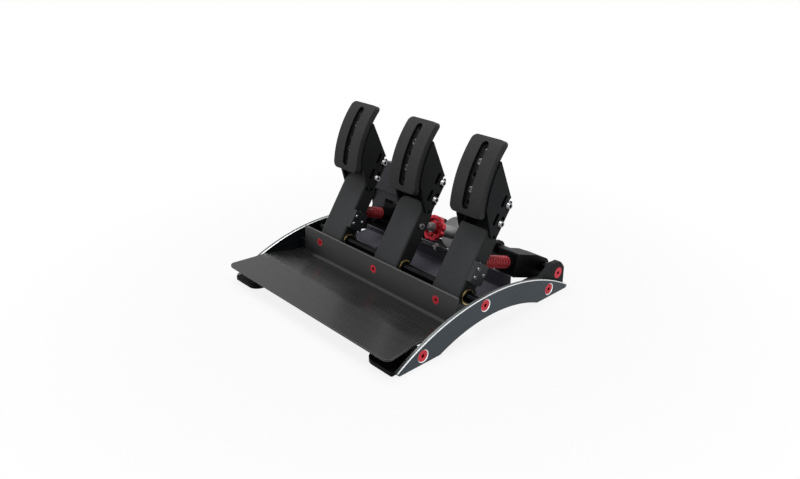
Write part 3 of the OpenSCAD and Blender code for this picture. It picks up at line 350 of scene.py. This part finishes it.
def face_finish():
    """Grainy charcoal coat, painted nearly black inside the groove as painted shade."""
    finish = Finish("face_coat", Specular_IOR_Level=0.12)
    grain = finish.noise(620.0, 3.0)
    cloud = finish.noise(14.0, 3.0)
    edges = finish.eased_edges(1.4)
    beside = None
    for x in PEDAL_X.values():
        off = finish.math("ABSOLUTE", finish.math("SUBTRACT", finish.axis("X"), x * MM))
        beside = off if beside is None else finish.math("MINIMUM", beside, off)
    reach = finish.node("ShaderNodeVectorMath", operation="DISTANCE")
    finish.link(finish.mapped((0, 1, 1)), reach.inputs[0])
    reach.inputs[1].default_value = place(0, *FACE_AXIS)
    # Painted shade: the groove is darkened to nearly black.
    groove = finish.math("MULTIPLY", finish.math("LESS_THAN", beside, GROOVE_HALF_W * MM),
                         finish.math("LESS_THAN", reach.outputs["Value"], GROOVE_R * MM))
    speckle = finish.blended(cloud, 0.4, grain)
    coat = finish.ramp(speckle, (0.019, 0.019, 0.0195), (0.036, 0.036, 0.0365))
    # The edges take a paler tone: partly wear, partly painted highlight.
    rubbed_highlit = finish.wear_and_highlight(edges, 0.35, coat, (0.05, 0.05, 0.05))
    finish.base(finish.mix(groove, rubbed_highlit, (0.005, 0.005, 0.005)))
    finish.rough(finish.span(grain, 0.42, 0.60, 0.3, 0.7))
    finish.bump(grain, 0.45, 0.35)
    return finish.material


def side_plate_finish():
    """Slate anodised outside with milled tops and bright bevels and countersinks; the inner faces are painted
    nearly black as painted shade.
    """
    finish = Finish("slate_plate", Metallic=0.7, Specular_IOR_Level=0.5)
    grain = finish.noise(1.0, 2.0, (900, 8, 900))
    cloud = finish.noise(10.0, 2.0)
    rim, flat, upward = 0.3, 0.95, 0.3
    normal = finish.facing()
    lean = finish.math("ABSOLUTE", normal["X"])
    cut = finish.math("MULTIPLY", finish.math("GREATER_THAN", lean, rim),
                      finish.math("LESS_THAN", lean, flat))
    top = finish.math("MULTIPLY", finish.math("LESS_THAN", lean, rim),
                      finish.math("GREATER_THAN", normal["Z"], upward))
    finish.eased_edges(0.3)
    slate = finish.ramp(finish.math("ADD", grain, finish.math("MULTIPLY", cloud, 0.5)),
                        (0.029, 0.039, 0.047), (0.046, 0.059, 0.070), 0.55, 0.95)
    # Painted shade: the inner faces take a nearly black tone.
    inside = finish.math("LESS_THAN", finish.math("ABSOLUTE", finish.axis("X")), PLATE_INSIDE * MM)
    shaded = finish.mix(inside, slate, (0.006, 0.008, 0.009))
    milled = finish.mix(top, shaded, (0.10, 0.11, 0.11))
    finish.base(finish.mix(cut, milled, (0.86, 0.87, 0.88)))
    finish.rough(finish.mix_value(cut, finish.span(grain, 0.36, 0.5, 0.3, 0.7), 0.38))
    finish.bump(grain, 0.06, 0.2)
    return finish.material


def turned_metal(name, dark, light, gloss, metallic=1.0, coat=0.0, recess=None):
    """Turned metal with fine rings; a dark recess tone, painted shade, fills its sockets and hollows."""
    finish = Finish(name, Metallic=metallic, Coat_Weight=coat, Coat_Roughness=0.25)
    rings = finish.noise(1.0, 2.0, (700, 260, 260))
    cloud = finish.noise(40.0, 2.0)
    finish.eased_edges(0.3)
    tone = finish.ramp(cloud, dark, light)
    # Painted shade: faces that the part itself hides darken to the recess tone.
    finish.base(finish.mix(finish.open_faces(4.0), recess, tone) if recess else tone)
    finish.rough(finish.span(rings, gloss, gloss + 0.16, 0.3, 0.7))
    finish.bump(rings, 0.08, 0.12)
    return finish.material


def moulded(name, dark, light, gloss, grain_scale, shine=0.35):
    """Moulded plastic with a fine grain."""
    finish = Finish(name, Specular_IOR_Level=shine)
    grain = finish.noise(grain_scale, 3.0)
    cloud = finish.noise(20.0, 2.0)
    edges = finish.eased_edges(0.9)
    coat = finish.ramp(cloud, dark, light)
    # The edges take a paler tone: partly wear, partly painted highlight.
    finish.base(finish.wear_and_highlight(edges, 0.3, coat, (0.04, 0.04, 0.045)))
    finish.rough(finish.span(grain, gloss, gloss + 0.2, 0.3, 0.7))
    finish.bump(grain, 0.2, 0.25)
    return finish.material


def board_finish():
    """Green circuit board with paler tracks."""
    finish = Finish("board", Specular_IOR_Level=0.5, Coat_Weight=0.3)
    tracks = finish.node("ShaderNodeTexBrick")
    finish.link(finish.mapped((300, 300, 300)), tracks.inputs["Vector"])
    tones = {"Color1": (0.010, 0.09, 0.03), "Color2": (0.013, 0.11, 0.04), "Mortar": (0.03, 0.17, 0.06)}
    for socket, tone in tones.items():
        tracks.inputs[socket].default_value = (*tone, 1)
    finish.base(tracks.outputs["Color"])
    finish.rough(finish.span(finish.noise(60.0), 0.3, 0.45))
    return finish.material


FINISHES = {
    "slate_plate": side_plate_finish(),
    "heel_sheet": heel_finish(),
    "arm_sheet": brushed_black("arm_sheet", "Z", (0.015, 0.0157, 0.0168), (0.026, 0.0272, 0.029), 0.38,
                               flank_shade=(0.008, 0.0088, 0.0096)),
    "bracket_sheet": powder_coat("bracket_sheet", (0.0025, 0.003, 0.0036), (0.0045, 0.0055, 0.0065),
                                 0.40, 900.0, shine=0.1),
    # The feet's edges take a pale tone: partly wear, partly painted highlight.
    "foot_sheet": powder_coat("foot_sheet", (0.003, 0.003, 0.004), (0.006, 0.006, 0.007),
                              0.30, 700.0, edge_wear_highlight=(0.12, 0.12, 0.125), shine=0.03),
    "face_coat": face_finish(),
    # The pan's paint is a lighter copy of the box's paint: painted light on the pan's floor.
    "pan_coat_painted_light": powder_coat("pan_coat_painted_light", (0.062, 0.062, 0.080), (0.090, 0.088, 0.110),
                            0.42, 900.0, edge_wear_highlight=(0.10, 0.10, 0.12)),
    "box_coat": powder_coat("box_coat", (0.016, 0.016, 0.022), (0.024, 0.023, 0.031),
                            0.40, 900.0, edge_wear_highlight=(0.10, 0.10, 0.12)),
    "dark_steel": turned_metal("dark_steel", (0.006, 0.006, 0.007), (0.013, 0.013, 0.014), 0.24),
    "steel": turned_metal("steel", (0.26, 0.26, 0.27), (0.36, 0.36, 0.37), 0.24, recess=(0.02, 0.02, 0.02)),
    "screw_steel": turned_metal("screw_steel", (0.14, 0.14, 0.145), (0.20, 0.20, 0.205), 0.22,
                                recess=(0.01, 0.01, 0.01)),
    "red_anodised": turned_metal("red_anodised", (0.52, 0.012, 0.030), (0.66, 0.022, 0.045), 0.30,
                                 metallic=0.55, recess=(0.06, 0.002, 0.004)),
    "red_gloss": turned_metal("red_gloss", (0.74, 0.035, 0.055), (0.86, 0.050, 0.070), 0.30,
                              metallic=0.2, recess=(0.10, 0.003, 0.006)),
    "spring_coat": turned_metal("spring_coat", (0.36, 0.006, 0.014), (0.46, 0.010, 0.022), 0.30,
                                metallic=0.2, coat=0.2, recess=(0.06, 0.002, 0.004)),
    "bush_brass": turned_metal("bush_brass", (0.50, 0.38, 0.16), (0.64, 0.50, 0.23), 0.26),
    "housing_black": moulded("housing_black", (0.0018, 0.002, 0.0022), (0.004, 0.004, 0.0045),
                             0.36, 1000.0, shine=0.06),
    "cylinder_grey": turned_metal("cylinder_grey", (0.26, 0.26, 0.262), (0.33, 0.33, 0.333), 0.34,
                                  metallic=0.8),
    "sensor_grey": moulded("sensor_grey", (0.004, 0.006, 0.007), (0.008, 0.011, 0.012), 0.36, 1200.0),
    "board": board_finish(),
    "sheath": moulded("sheath", (0.006, 0.006, 0.007), (0.012, 0.012, 0.013), 0.45, 800.0),
    "nylon": moulded("nylon", (0.72, 0.72, 0.70), (0.82, 0.82, 0.80), 0.35, 400.0),
}

NODE_FINISH = {
    "side_plate_left": "slate_plate", "side_plate_right": "slate_plate", "heel_plate": "heel_sheet",
    "base_pan": "pan_coat_painted_light", "control_box_tray": "box_coat", "control_box_cover": "box_coat",
    "pan_hangers": "bracket_sheet", "control_box_bracket": "bracket_sheet",
    "rear_bracket_left": "bracket_sheet", "rear_bracket_right": "bracket_sheet",
    "foot_bracket_left": "foot_sheet", "foot_bracket_right": "foot_sheet",
    "pivot_axle": "dark_steel", "axle_rings": "dark_steel", "rear_tube": "dark_steel",
    "side_plate_screws": "red_anodised", "rear_bracket_screws": "red_anodised",
    "heel_plate_screws": "red_gloss", "circuit_board": "board", "wire_ties": "nylon",
    "brake_cylinder": "cylinder_grey", "brake_rod": "cylinder_grey", "brake_knob": "red_anodised",
    "brake_sensor_wire": "sheath",
}
for pedal in PEDALS:
    NODE_FINISH.update({
        f"{pedal}_arm": "arm_sheet", f"{pedal}_face_bracket": "bracket_sheet", f"{pedal}_face": "face_coat",
        f"{pedal}_face_screws": "screw_steel", f"{pedal}_bracket_bolts": "steel",
        f"{pedal}_bushes": "bush_brass", f"{pedal}_strut_pin": "steel",
    })
for pedal in SPRUNG:
    NODE_FINISH.update({
        f"{pedal}_sensor": "sensor_grey", f"{pedal}_sensor_screws": "screw_steel",
        # The rods inside the springs take the dark steel, which paints shade between the coils.
        f"{pedal}_sensor_wire": "sheath", f"{pedal}_housing": "housing_black", f"{pedal}_rod": "dark_steel",
        f"{pedal}_spring_seat": "housing_black", f"{pedal}_spring": "spring_coat",
    })

for name, obj in nodes.items():
    obj.data.materials.clear()
    obj.data.materials.append(FINISHES[NODE_FINISH[name]])


# Geometry node trees

def baked(name, holder):
    """What a holder's curve or modifier makes, as a smooth mesh object in its place."""
    scene.collection.objects.link(holder)
    evaluated = holder.evaluated_get(bpy.context.evaluated_depsgraph_get())
    made = bpy.data.objects.new(name, bpy.data.meshes.new_from_object(evaluated))
    bpy.data.objects.remove(holder)
    made.data.shade_smooth()
    scene.collection.objects.link(made)
    return made


class Tree:
    """A geometry node tree with named inputs, which ends in realised instances and a material."""

    def __init__(self, name, inputs):
        self.group = bpy.data.node_groups.new(name, "GeometryNodeTree")
        self.sockets = {}
        for label, kind in inputs.items():
            made = self.group.interface.new_socket(label, in_out="INPUT", socket_type=kind)
            self.sockets[label] = made.identifier
        self.group.interface.new_socket("Geometry", in_out="OUTPUT", socket_type="NodeSocketGeometry")
        self.given = self.group.nodes.new("NodeGroupInput").outputs

    def node(self, kind, links=None, **settings):
        made = self.group.nodes.new(kind)
        for name, value in settings.items():
            setattr(made, name, value)
        for socket, value in (links or {}).items():
            if isinstance(value, bpy.types.NodeSocket):
                self.group.links.new(value, made.inputs[socket])
            elif value is not None:
                made.inputs[socket].default_value = value
        return made

    def result(self, kind, links, **settings):
        """The first output of a new node."""
        return self.node(kind, links, **settings).outputs[0]

    def math(self, operation, a, b):
        return self.result("ShaderNodeMath", {0: a, 1: b}, operation=operation)

    def lifted(self, geometry, height):
        """The geometry, moved up along its Z."""
        shift = self.result("ShaderNodeCombineXYZ", {"Z": height})
        return self.result("GeometryNodeTransform", {"Geometry": geometry, "Translation": shift})

    def helix(self, steps, turns, radius, height):
        """A curve that winds upwards, with this many steps in a turn."""
        return self.result("GeometryNodeCurveSpiral", {
            "Resolution": steps, "Rotations": turns, "Start Radius": radius, "End Radius": radius,
            "Height": height,
        })

    def swept(self, curve, sides, radius):
        """A round bar along a curve."""
        section = self.result("GeometryNodeCurvePrimitiveCircle", {"Resolution": sides, "Radius": radius})
        return self.result("GeometryNodeCurveToMesh", {
            "Curve": curve, "Profile Curve": section, "Fill Caps": True,
        })

    def finish(self, geometry, material):
        """Ends the tree with its geometry in this material."""
        whole = self.node("GeometryNodeRealizeInstances", {"Geometry": geometry})
        painted = self.node("GeometryNodeSetMaterial", {"Geometry": whole.outputs[0]})
        painted.inputs["Material"].default_value = material
        out = self.group.nodes.new("NodeGroupOutput")
        self.group.links.new(painted.outputs[0], out.inputs[0])

    def mesh(self, name, values, matrix):
        """The tree's result with these values, moved by the matrix, as an object at the origin."""
        holder = bpy.data.objects.new(name + "_holder", bpy.data.meshes.new(name + "_holder"))
        modifier = holder.modifiers.new("tree", "NODES")
        modifier.node_group = self.group
        for label, value in values.items():
            modifier[self.sockets[label]] = value
        made = baked(name, holder)
        made.data.transform(matrix)
        return made


FLOAT = "NodeSocketFloat"


def spring_tree():
    """Open curls between two closed end curls."""
    tree = Tree("coil_spring", {"Radius": FLOAT, "Wire": FLOAT, "Length": FLOAT, "Turns": FLOAT})
    give = tree.given
    half_wire = tree.math("MULTIPLY", give["Wire"], 0.5)
    rise = tree.math("SUBTRACT", give["Length"], give["Wire"])
    open_rise = tree.math("SUBTRACT", rise, give["Wire"])
    curls = tree.helix(40, give["Turns"], give["Radius"], open_rise)
    ring = tree.result("GeometryNodeCurvePrimitiveCircle", {"Resolution": 48, "Radius": give["Radius"]})
    top = tree.math("SUBTRACT", give["Length"], half_wire)
    join = tree.node("GeometryNodeJoinGeometry")
    for curve, height in ((curls, give["Wire"]), (ring, half_wire), (ring, top)):
        tree.group.links.new(tree.lifted(curve, height), join.inputs[0])
    tree.finish(tree.swept(join.outputs[0], 14, half_wire), FINISHES["spring_coat"])
    return tree


def make_springs():
    """The coil springs between their seats and the housings, round the sliding rods, fixed to the struts."""
    tree = spring_tree()
    coil_r, wire_d, housing_len, start = 8.3, 2.4, 70.0, 17.0
    # A little more than the slide moves, so that the coil stays clear of its seat
    for pedal, collar, turns in (("clutch", 21.0, 10.0), ("throttle", 2.0, 15.0)):
        stop = STRUT_LEN - housing_len - collar
        frame_at = strut_frame(STRUT_X[pedal], STRUT_PIN)
        made = tree.mesh(f"{pedal}_coil", {
            "Radius": coil_r * MM, "Wire": wire_d * MM, "Length": (stop - start) * MM, "Turns": turns,
        }, frame_at @ Matrix.Translation((0, 0, start * MM)))
        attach(made, f"{pedal}_strut")
        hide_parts(f"{pedal}_spring")
        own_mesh(made)


# Wires from the sensors to the control box

WIRE_D = 3.0
SENSOR_X = 30.25
TRAY_AHEAD = 52.0
PAN_BACK = 252.0
FLOOR_Z, LOOM_Z = 14.5, 35.5
LIP_Y, LOOM_Y = 246.0, 242.7


def sensor_exit(pedal):
    """A wire's first two points, out of the sensor beside a pedal's arm."""
    return [(PEDAL_X[pedal] + SENSOR_X, *arm_point(4, u)) for u in (22, 12)]


def tray_entry(x):
    """A wire's last two points, into the control box's tray ahead of the rear tube."""
    return [(x, *strut_point(STRUT_PIN, STRUT_LEN - TRAY_AHEAD, v)) for v in (13.5, 25.5)]


WIRES = {
    "clutch": sensor_exit("clutch") + [
        (-98, 170, 37), (-96, 177, 25), (-94, 189, FLOOR_Z + 1), (-92, 210, FLOOR_Z),
        (-91, PAN_BACK - 16, FLOOR_Z), (-90, LIP_Y - 1, FLOOR_Z + 7), (-90, LIP_Y, LOOM_Z - 4),
        (-90, PAN_BACK - 2, LOOM_Z + 6), (-90, PAN_BACK + 8, LOOM_Z + 11), (-90, PAN_BACK + 20, LOOM_Z + 14),
    ] + tray_entry(-90),
    "throttle": sensor_exit("throttle") + [
        (156, 170, 37), (152, 178, 26), (140, 191, FLOOR_Z + 3), (122, 208, FLOOR_Z), (98, 228, FLOOR_Z),
        (78, LIP_Y - 4, FLOOR_Z + 3), (62, LIP_Y, LOOM_Z - 8), (44, LIP_Y, LOOM_Z), (0, LIP_Y, LOOM_Z),
        (-46, LIP_Y, LOOM_Z), (-64, PAN_BACK - 4, LOOM_Z + 5), (-74, PAN_BACK + 4, LOOM_Z + 11),
        (-76, PAN_BACK + 18, LOOM_Z + 14),
    ] + tray_entry(-76),
    "brake": [(x, *strut_point(BRAKE_PIN, BRAKE_LEN - 17, 0)) for x in (23, 32)] + [
        (44, 305, 34), (50, 293, 35), (52, PAN_BACK + 26, 38), (50, PAN_BACK + 10, LOOM_Z + 6),
        (44, PAN_BACK - 2, LOOM_Z + 6), (32, LOOM_Y - 1, LOOM_Z + 4), (20, LOOM_Y, LOOM_Z),
        (4, LOOM_Y, LOOM_Z), (-46, LOOM_Y, LOOM_Z), (-68, LOOM_Y + 1, LOOM_Z + 5),
        (-80, PAN_BACK, LOOM_Z + 11), (-83, PAN_BACK + 16, LOOM_Z + 14),
    ] + tray_entry(-83),
}


def smooth_path(points, steps):
    """Points on the same curve as the source's wires."""
    last = len(points) - 1
    path = []
    for i in range(last):
        a, b, c, d = (points[max(i - 1, 0)], points[i], points[i + 1], points[min(i + 2, last)])
        for k in range(steps):
            f = k / steps
            path.append(b + 0.5 * f * (c - a + f * (2 * a - 5 * b + 4 * c - d + f * (3 * b - a - 3 * c + d))))
    return path + [points[last]]


def make_wire(pedal):
    """One wire as a round bar along its smooth path."""
    points = smooth_path([place(*p) for p in WIRES[pedal]], steps=6)
    curve = bpy.data.curves.new(f"{pedal}_lead", "CURVE")
    curve.dimensions = "3D"
    curve.bevel_depth = WIRE_D / 2 * MM
    curve.bevel_resolution = 4
    curve.use_fill_caps = True
    spline = curve.splines.new("POLY")
    spline.points.add(len(points) - 1)
    for point, at in zip(spline.points, points):
        point.co = (*at, 1)
    made = baked(f"{pedal}_lead", bpy.data.objects.new("lead_holder", curve))
    made.data.materials.append(FINISHES["sheath"])
    return made


def make_wires():
    """The wires: the brake's rides with the frame and stays still; the sensors' are left unattached."""
    for pedal, points in WIRES.items():
        made = make_wire(pedal)
        if pedal == "brake":
            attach(made, "frame")
        else:
            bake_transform(made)
        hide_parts(f"{pedal}_sensor_wire")


# Small turned and moulded details

def thread_tree():
    """A screw thread: one ridge wound round a rod."""
    tree = Tree("rod_thread", {"Radius": FLOAT, "Depth": FLOAT, "Length": FLOAT, "Turns": FLOAT})
    give = tree.given
    ridge = tree.swept(tree.helix(32, give["Turns"], give["Radius"], give["Length"]), 6, give["Depth"])
    tree.finish(ridge, FINISHES["cylinder_grey"])
    return tree


def knurl_tree():
    """Ribs round the rim of a disc."""
    tree = Tree("rim_ribs", {"Radius": FLOAT, "Rib": FLOAT, "Height": FLOAT, "Count": "NodeSocketInt"})
    give = tree.given
    ring = tree.result("GeometryNodeMeshCircle", {"Vertices": give["Count"], "Radius": give["Radius"]})
    rib = tree.result("GeometryNodeMeshCylinder", {
        "Vertices": 8, "Radius": give["Rib"], "Depth": give["Height"],
    })
    ribs = tree.result("GeometryNodeInstanceOnPoints", {"Points": ring, "Instance": rib})
    tree.finish(ribs, FINISHES["housing_black"])
    return tree


def make_strut_details():
    """The thread on the brake's rod and the ribs round the spring seats."""
    thread_start, seat_middle = 13.0, 15.5
    at = strut_frame(PEDAL_X["brake"], BRAKE_PIN)
    thread = thread_tree().mesh("brake_rod_thread", {
        "Radius": 6.0 * MM, "Depth": 0.5 * MM, "Length": 35.0 * MM, "Turns": 28.0,
    }, at @ Matrix.Translation((0, 0, thread_start * MM)))
    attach(thread, "brake_piston")
    ribs = knurl_tree()
    for pedal in SPRUNG:
        at = strut_frame(STRUT_X[pedal], STRUT_PIN)
        rim = ribs.mesh(f"{pedal}_seat_ribs", {
            "Radius": 11.0 * MM, "Rib": 0.4 * MM, "Height": 2.2 * MM, "Count": 48,
        }, at @ Matrix.Translation((0, 0, seat_middle * MM)))
        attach(rim, f"{pedal}_piston")


# Small pieces built from rings of points

def skin(shape, rings):
    """Faces from each ring of points to the next."""
    for ring, after in zip(rings, rings[1:]):
        for i in range(len(ring)):
            k = (i + 1) % len(ring)
            shape.faces.new((ring[i], ring[k], after[k], after[i]))


def capped(shape, rings):
    """A skin over the rings, closed at both ends."""
    skin(shape, rings)
    shape.faces.new(rings[0])
    shape.faces.new(rings[-1])


def add_box(shape, low, high):
    """A box between two corners."""
    for v in bmesh.ops.create_cube(shape, size=1.0)["verts"]:
        v.co = place(*[low[k] if v.co[k] < 0 else high[k] for k in range(3)])


def built(name, shape, finish, ease=0.0):
    """The shape as an object with its faces outwards, its edges eased and its finish on."""
    bmesh.ops.recalc_face_normals(shape, faces=shape.faces)
    if ease:
        bmesh.ops.bevel(shape, geom=shape.edges[:], offset=ease * MM, segments=2, affect="EDGES", profile=0.5)
    mesh = bpy.data.meshes.new(name)
    shape.to_mesh(mesh)
    shape.free()
    mesh.materials.append(FINISHES[finish])
    made = bpy.data.objects.new(name, mesh)
    scene.collection.objects.link(made)
    return made


def make_ties():
    """Nylon ties round the loom: a band, a head and a cut tail."""
    inner, outer, half, sides = 3.2, 4.0, 2.0, 40
    section = ((inner, -half), (outer, -half), (outer, half), (inner, half))
    middle, top = (LIP_Y + LOOM_Y) / 2, LOOM_Z + outer
    shape = bmesh.new()
    for x in (6.0, -30.0):
        rings = []
        for i in range(sides):
            a = 2 * math.pi * i / sides
            around = [(x + side, middle + r * math.cos(a), LOOM_Z + r * math.sin(a)) for r, side in section]
            rings.append([shape.verts.new(place(*point)) for point in around])
        skin(shape, rings + rings[:1])
        add_box(shape, (x - 2.6, middle - 2.4, top - 0.3), (x + 2.6, middle + 2.4, top + 2.6))
        add_box(shape, (x - 1.6, middle - 8.0, top + 0.7), (x + 1.6, middle - 2.2, top + 1.6))
    ties = built("loom_ties", shape, "nylon")
    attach(ties, "frame")
    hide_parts("wire_ties")


def rounded_outline(half, low, high, radius):
    """Points round a rectangle with rounded corners."""
    points = []
    corners = ((half, high, 0), (-half, high, 90), (-half, low, 180), (half, low, 270))
    for x, y, turn in corners:
        middle_x = x - math.copysign(radius, x)
        middle_y = y - radius if y == high else y + radius
        for step in range(7):
            a = math.radians(turn + 15 * step)
            points.append((middle_x + radius * math.cos(a), middle_y + radius * math.sin(a)))
    return points


def make_arm_bridges():
    """A pressed plate between each arm's side walls, behind the bracket bolts."""
    half, low, high, corner, least_corner = 23.0, 86.0, 127.0, 6.0, 1.5
    front_w, sheet, press = 2.2, 1.5, 0.8
    front = ((10.0, -press), (8.0, -press), (6.0, 0.0), (0.3, 0.0), (0.0, 0.3))
    back = ((0.0, sheet - 0.3), (0.3, sheet), (6.0, sheet), (8.0, sheet - press), (10.0, sheet - press))
    for pedal in PEDALS:
        shape = bmesh.new()
        rings = []
        for inset, depth in front + back:
            radius = max(corner - inset, least_corner)
            outline = rounded_outline(half - inset, low + inset, high - inset, radius)
            around = [(PEDAL_X[pedal] + x, *arm_point(front_w + depth, u)) for x, u in outline]
            rings.append([shape.verts.new(place(*point)) for point in around])
        capped(shape, rings)
        made = built(f"{pedal}_arm_bridge", shape, "bracket_sheet")
        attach(made, f"{pedal}_pedal")


def make_end_shade_brackets():
    """Small dark brackets between the heel flange's ends and the side plates, a foot and an upright, set to
    fill the gaps there with painted shade.
    """
    inner, tab, outer = 168.2, 177.3, 178.9
    foot = ((inner, 114.6), (tab, 108.6), (tab, 107.0), (outer, 107.0), (outer, 121.0), (inner, 121.0))
    upright = ((inner, 118.2), (outer, 118.2), (outer, 120.7), (inner, 120.7))
    shape = bmesh.new()
    for side in (-1, 1):
        for outline, low, high in ((foot, 12.0, 15.6), (upright, 15.0, 33.0)):
            capped(shape, [[shape.verts.new(place(side * x, y, z)) for x, y in outline] for z in (low, high)])
    made = built("heel_end_shade_brackets", shape, "bracket_sheet", ease=0.5)
    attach(made, "frame")


make_springs()
make_wires()
make_strut_details()
make_ties()
make_arm_bridges()
make_end_shade_brackets()


# Floor, light and background

def seen_rays(tree):
    """1 for rays from the camera and for reflected or refracted ones."""
    path = tree.nodes.new("ShaderNodeLightPath")
    seen = path.outputs["Is Camera Ray"]
    for name in ("Is Glossy Ray", "Is Transmission Ray"):
        seen = joined(tree, "MAXIMUM", seen, path.outputs[name])
    return seen


def beside_frame(tree, floor_point):
    """0 on the floor under the pan and the pedals, 1 elsewhere."""
    middle, half, blend = place(-13.0, 207.0, 0), {"X": 159.0, "Y": 70.0}, 10.0
    shift = tree.nodes.new("ShaderNodeVectorMath")
    shift.operation = "SUBTRACT"
    tree.links.new(floor_point, shift.inputs[0])
    shift.inputs[1].default_value = middle
    size = tree.nodes.new("ShaderNodeVectorMath")
    size.operation = "ABSOLUTE"
    tree.links.new(shift.outputs[0], size.inputs[0])
    parts = tree.nodes.new("ShaderNodeSeparateXYZ")
    tree.links.new(size.outputs[0], parts.inputs[0])
    past = [ranged(tree, parts.outputs[axis], reach * MM, (reach + blend) * MM, 0, 1)
            for axis, reach in half.items()]
    return joined(tree, "MAXIMUM", *past)


def make_stage():
    """A pale floor that shows mostly its own light, less of it near the object and none under the frame."""
    near, far, least = 0.25, 0.6, 0.86
    bpy.ops.mesh.primitive_plane_add(size=12, location=(0, 0, -0.5 * MM))
    floor = bpy.context.object
    floor.name = "floor"
    material = bpy.data.materials.new("floor_pale")
    material.use_nodes = True
    tree = material.node_tree
    tree.nodes.clear()
    plain = tree.nodes.new("ShaderNodeBsdfDiffuse")
    plain.inputs["Color"].default_value = (0.66, 0.66, 0.66, 1)
    glow = tree.nodes.new("ShaderNodeEmission")
    floor_point = tree.nodes.new("ShaderNodeTexCoord").outputs["Object"]
    away = tree.nodes.new("ShaderNodeVectorMath")
    away.operation = "LENGTH"
    tree.links.new(floor_point, away.inputs[0])
    share = seen_rays(tree)
    fade = ranged(tree, away.outputs["Value"], near, far, least, 1.0)
    for factor in (fade, beside_frame(tree, floor_point)):
        share = joined(tree, "MULTIPLY", share, factor)
    mix = tree.nodes.new("ShaderNodeMixShader")
    tree.links.new(share, mix.inputs["Fac"])
    tree.links.new(plain.outputs[0], mix.inputs[1])
    tree.links.new(glow.outputs[0], mix.inputs[2])
    out = tree.nodes.new("ShaderNodeOutputMaterial")
    tree.links.new(mix.outputs[0], out.inputs["Surface"])
    floor.data.materials.append(material)


def make_world():
    """White for rays that are seen, and a dim light for the others."""
    dim = 0.24
    world = bpy.data.worlds.new("studio")
    scene.world = world
    world.use_nodes = True
    tree = world.node_tree
    back = tree.nodes["Background"]
    back.inputs["Color"].default_value = (1, 1, 1, 1)
    tree.links.new(ranged(tree, seen_rays(tree), 0, 1, dim, 1), back.inputs["Strength"])


def softbox(name, at, aim, size, power):
    """A rectangular lamp that points at its aim."""
    data = bpy.data.lights.new(name, "AREA")
    data.shape = "RECTANGLE"
    data.size, data.size_y = size
    data.energy = power
    lamp = bpy.data.objects.new(name, data)
    lamp.location = at
    lamp.rotation_mode = "QUATERNION"
    lamp.rotation_quaternion = (Vector(aim) - Vector(at)).to_track_quat("-Z", "Y")
    scene.collection.objects.link(lamp)


make_stage()
make_world()
softbox("overhead", at=(-0.1, -0.15, 1.6), aim=(0, 0, 0.1), size=(1.4, 1.0), power=26)
softbox("front_left", at=(-1.2, -1.2, 1.0), aim=(0, 0, 0.12), size=(0.9, 0.9), power=1.5)
softbox("right", at=(1.5, -0.2, 0.3), aim=(0.1, 0, 0.06), size=(0.8, 0.4), power=2.0)
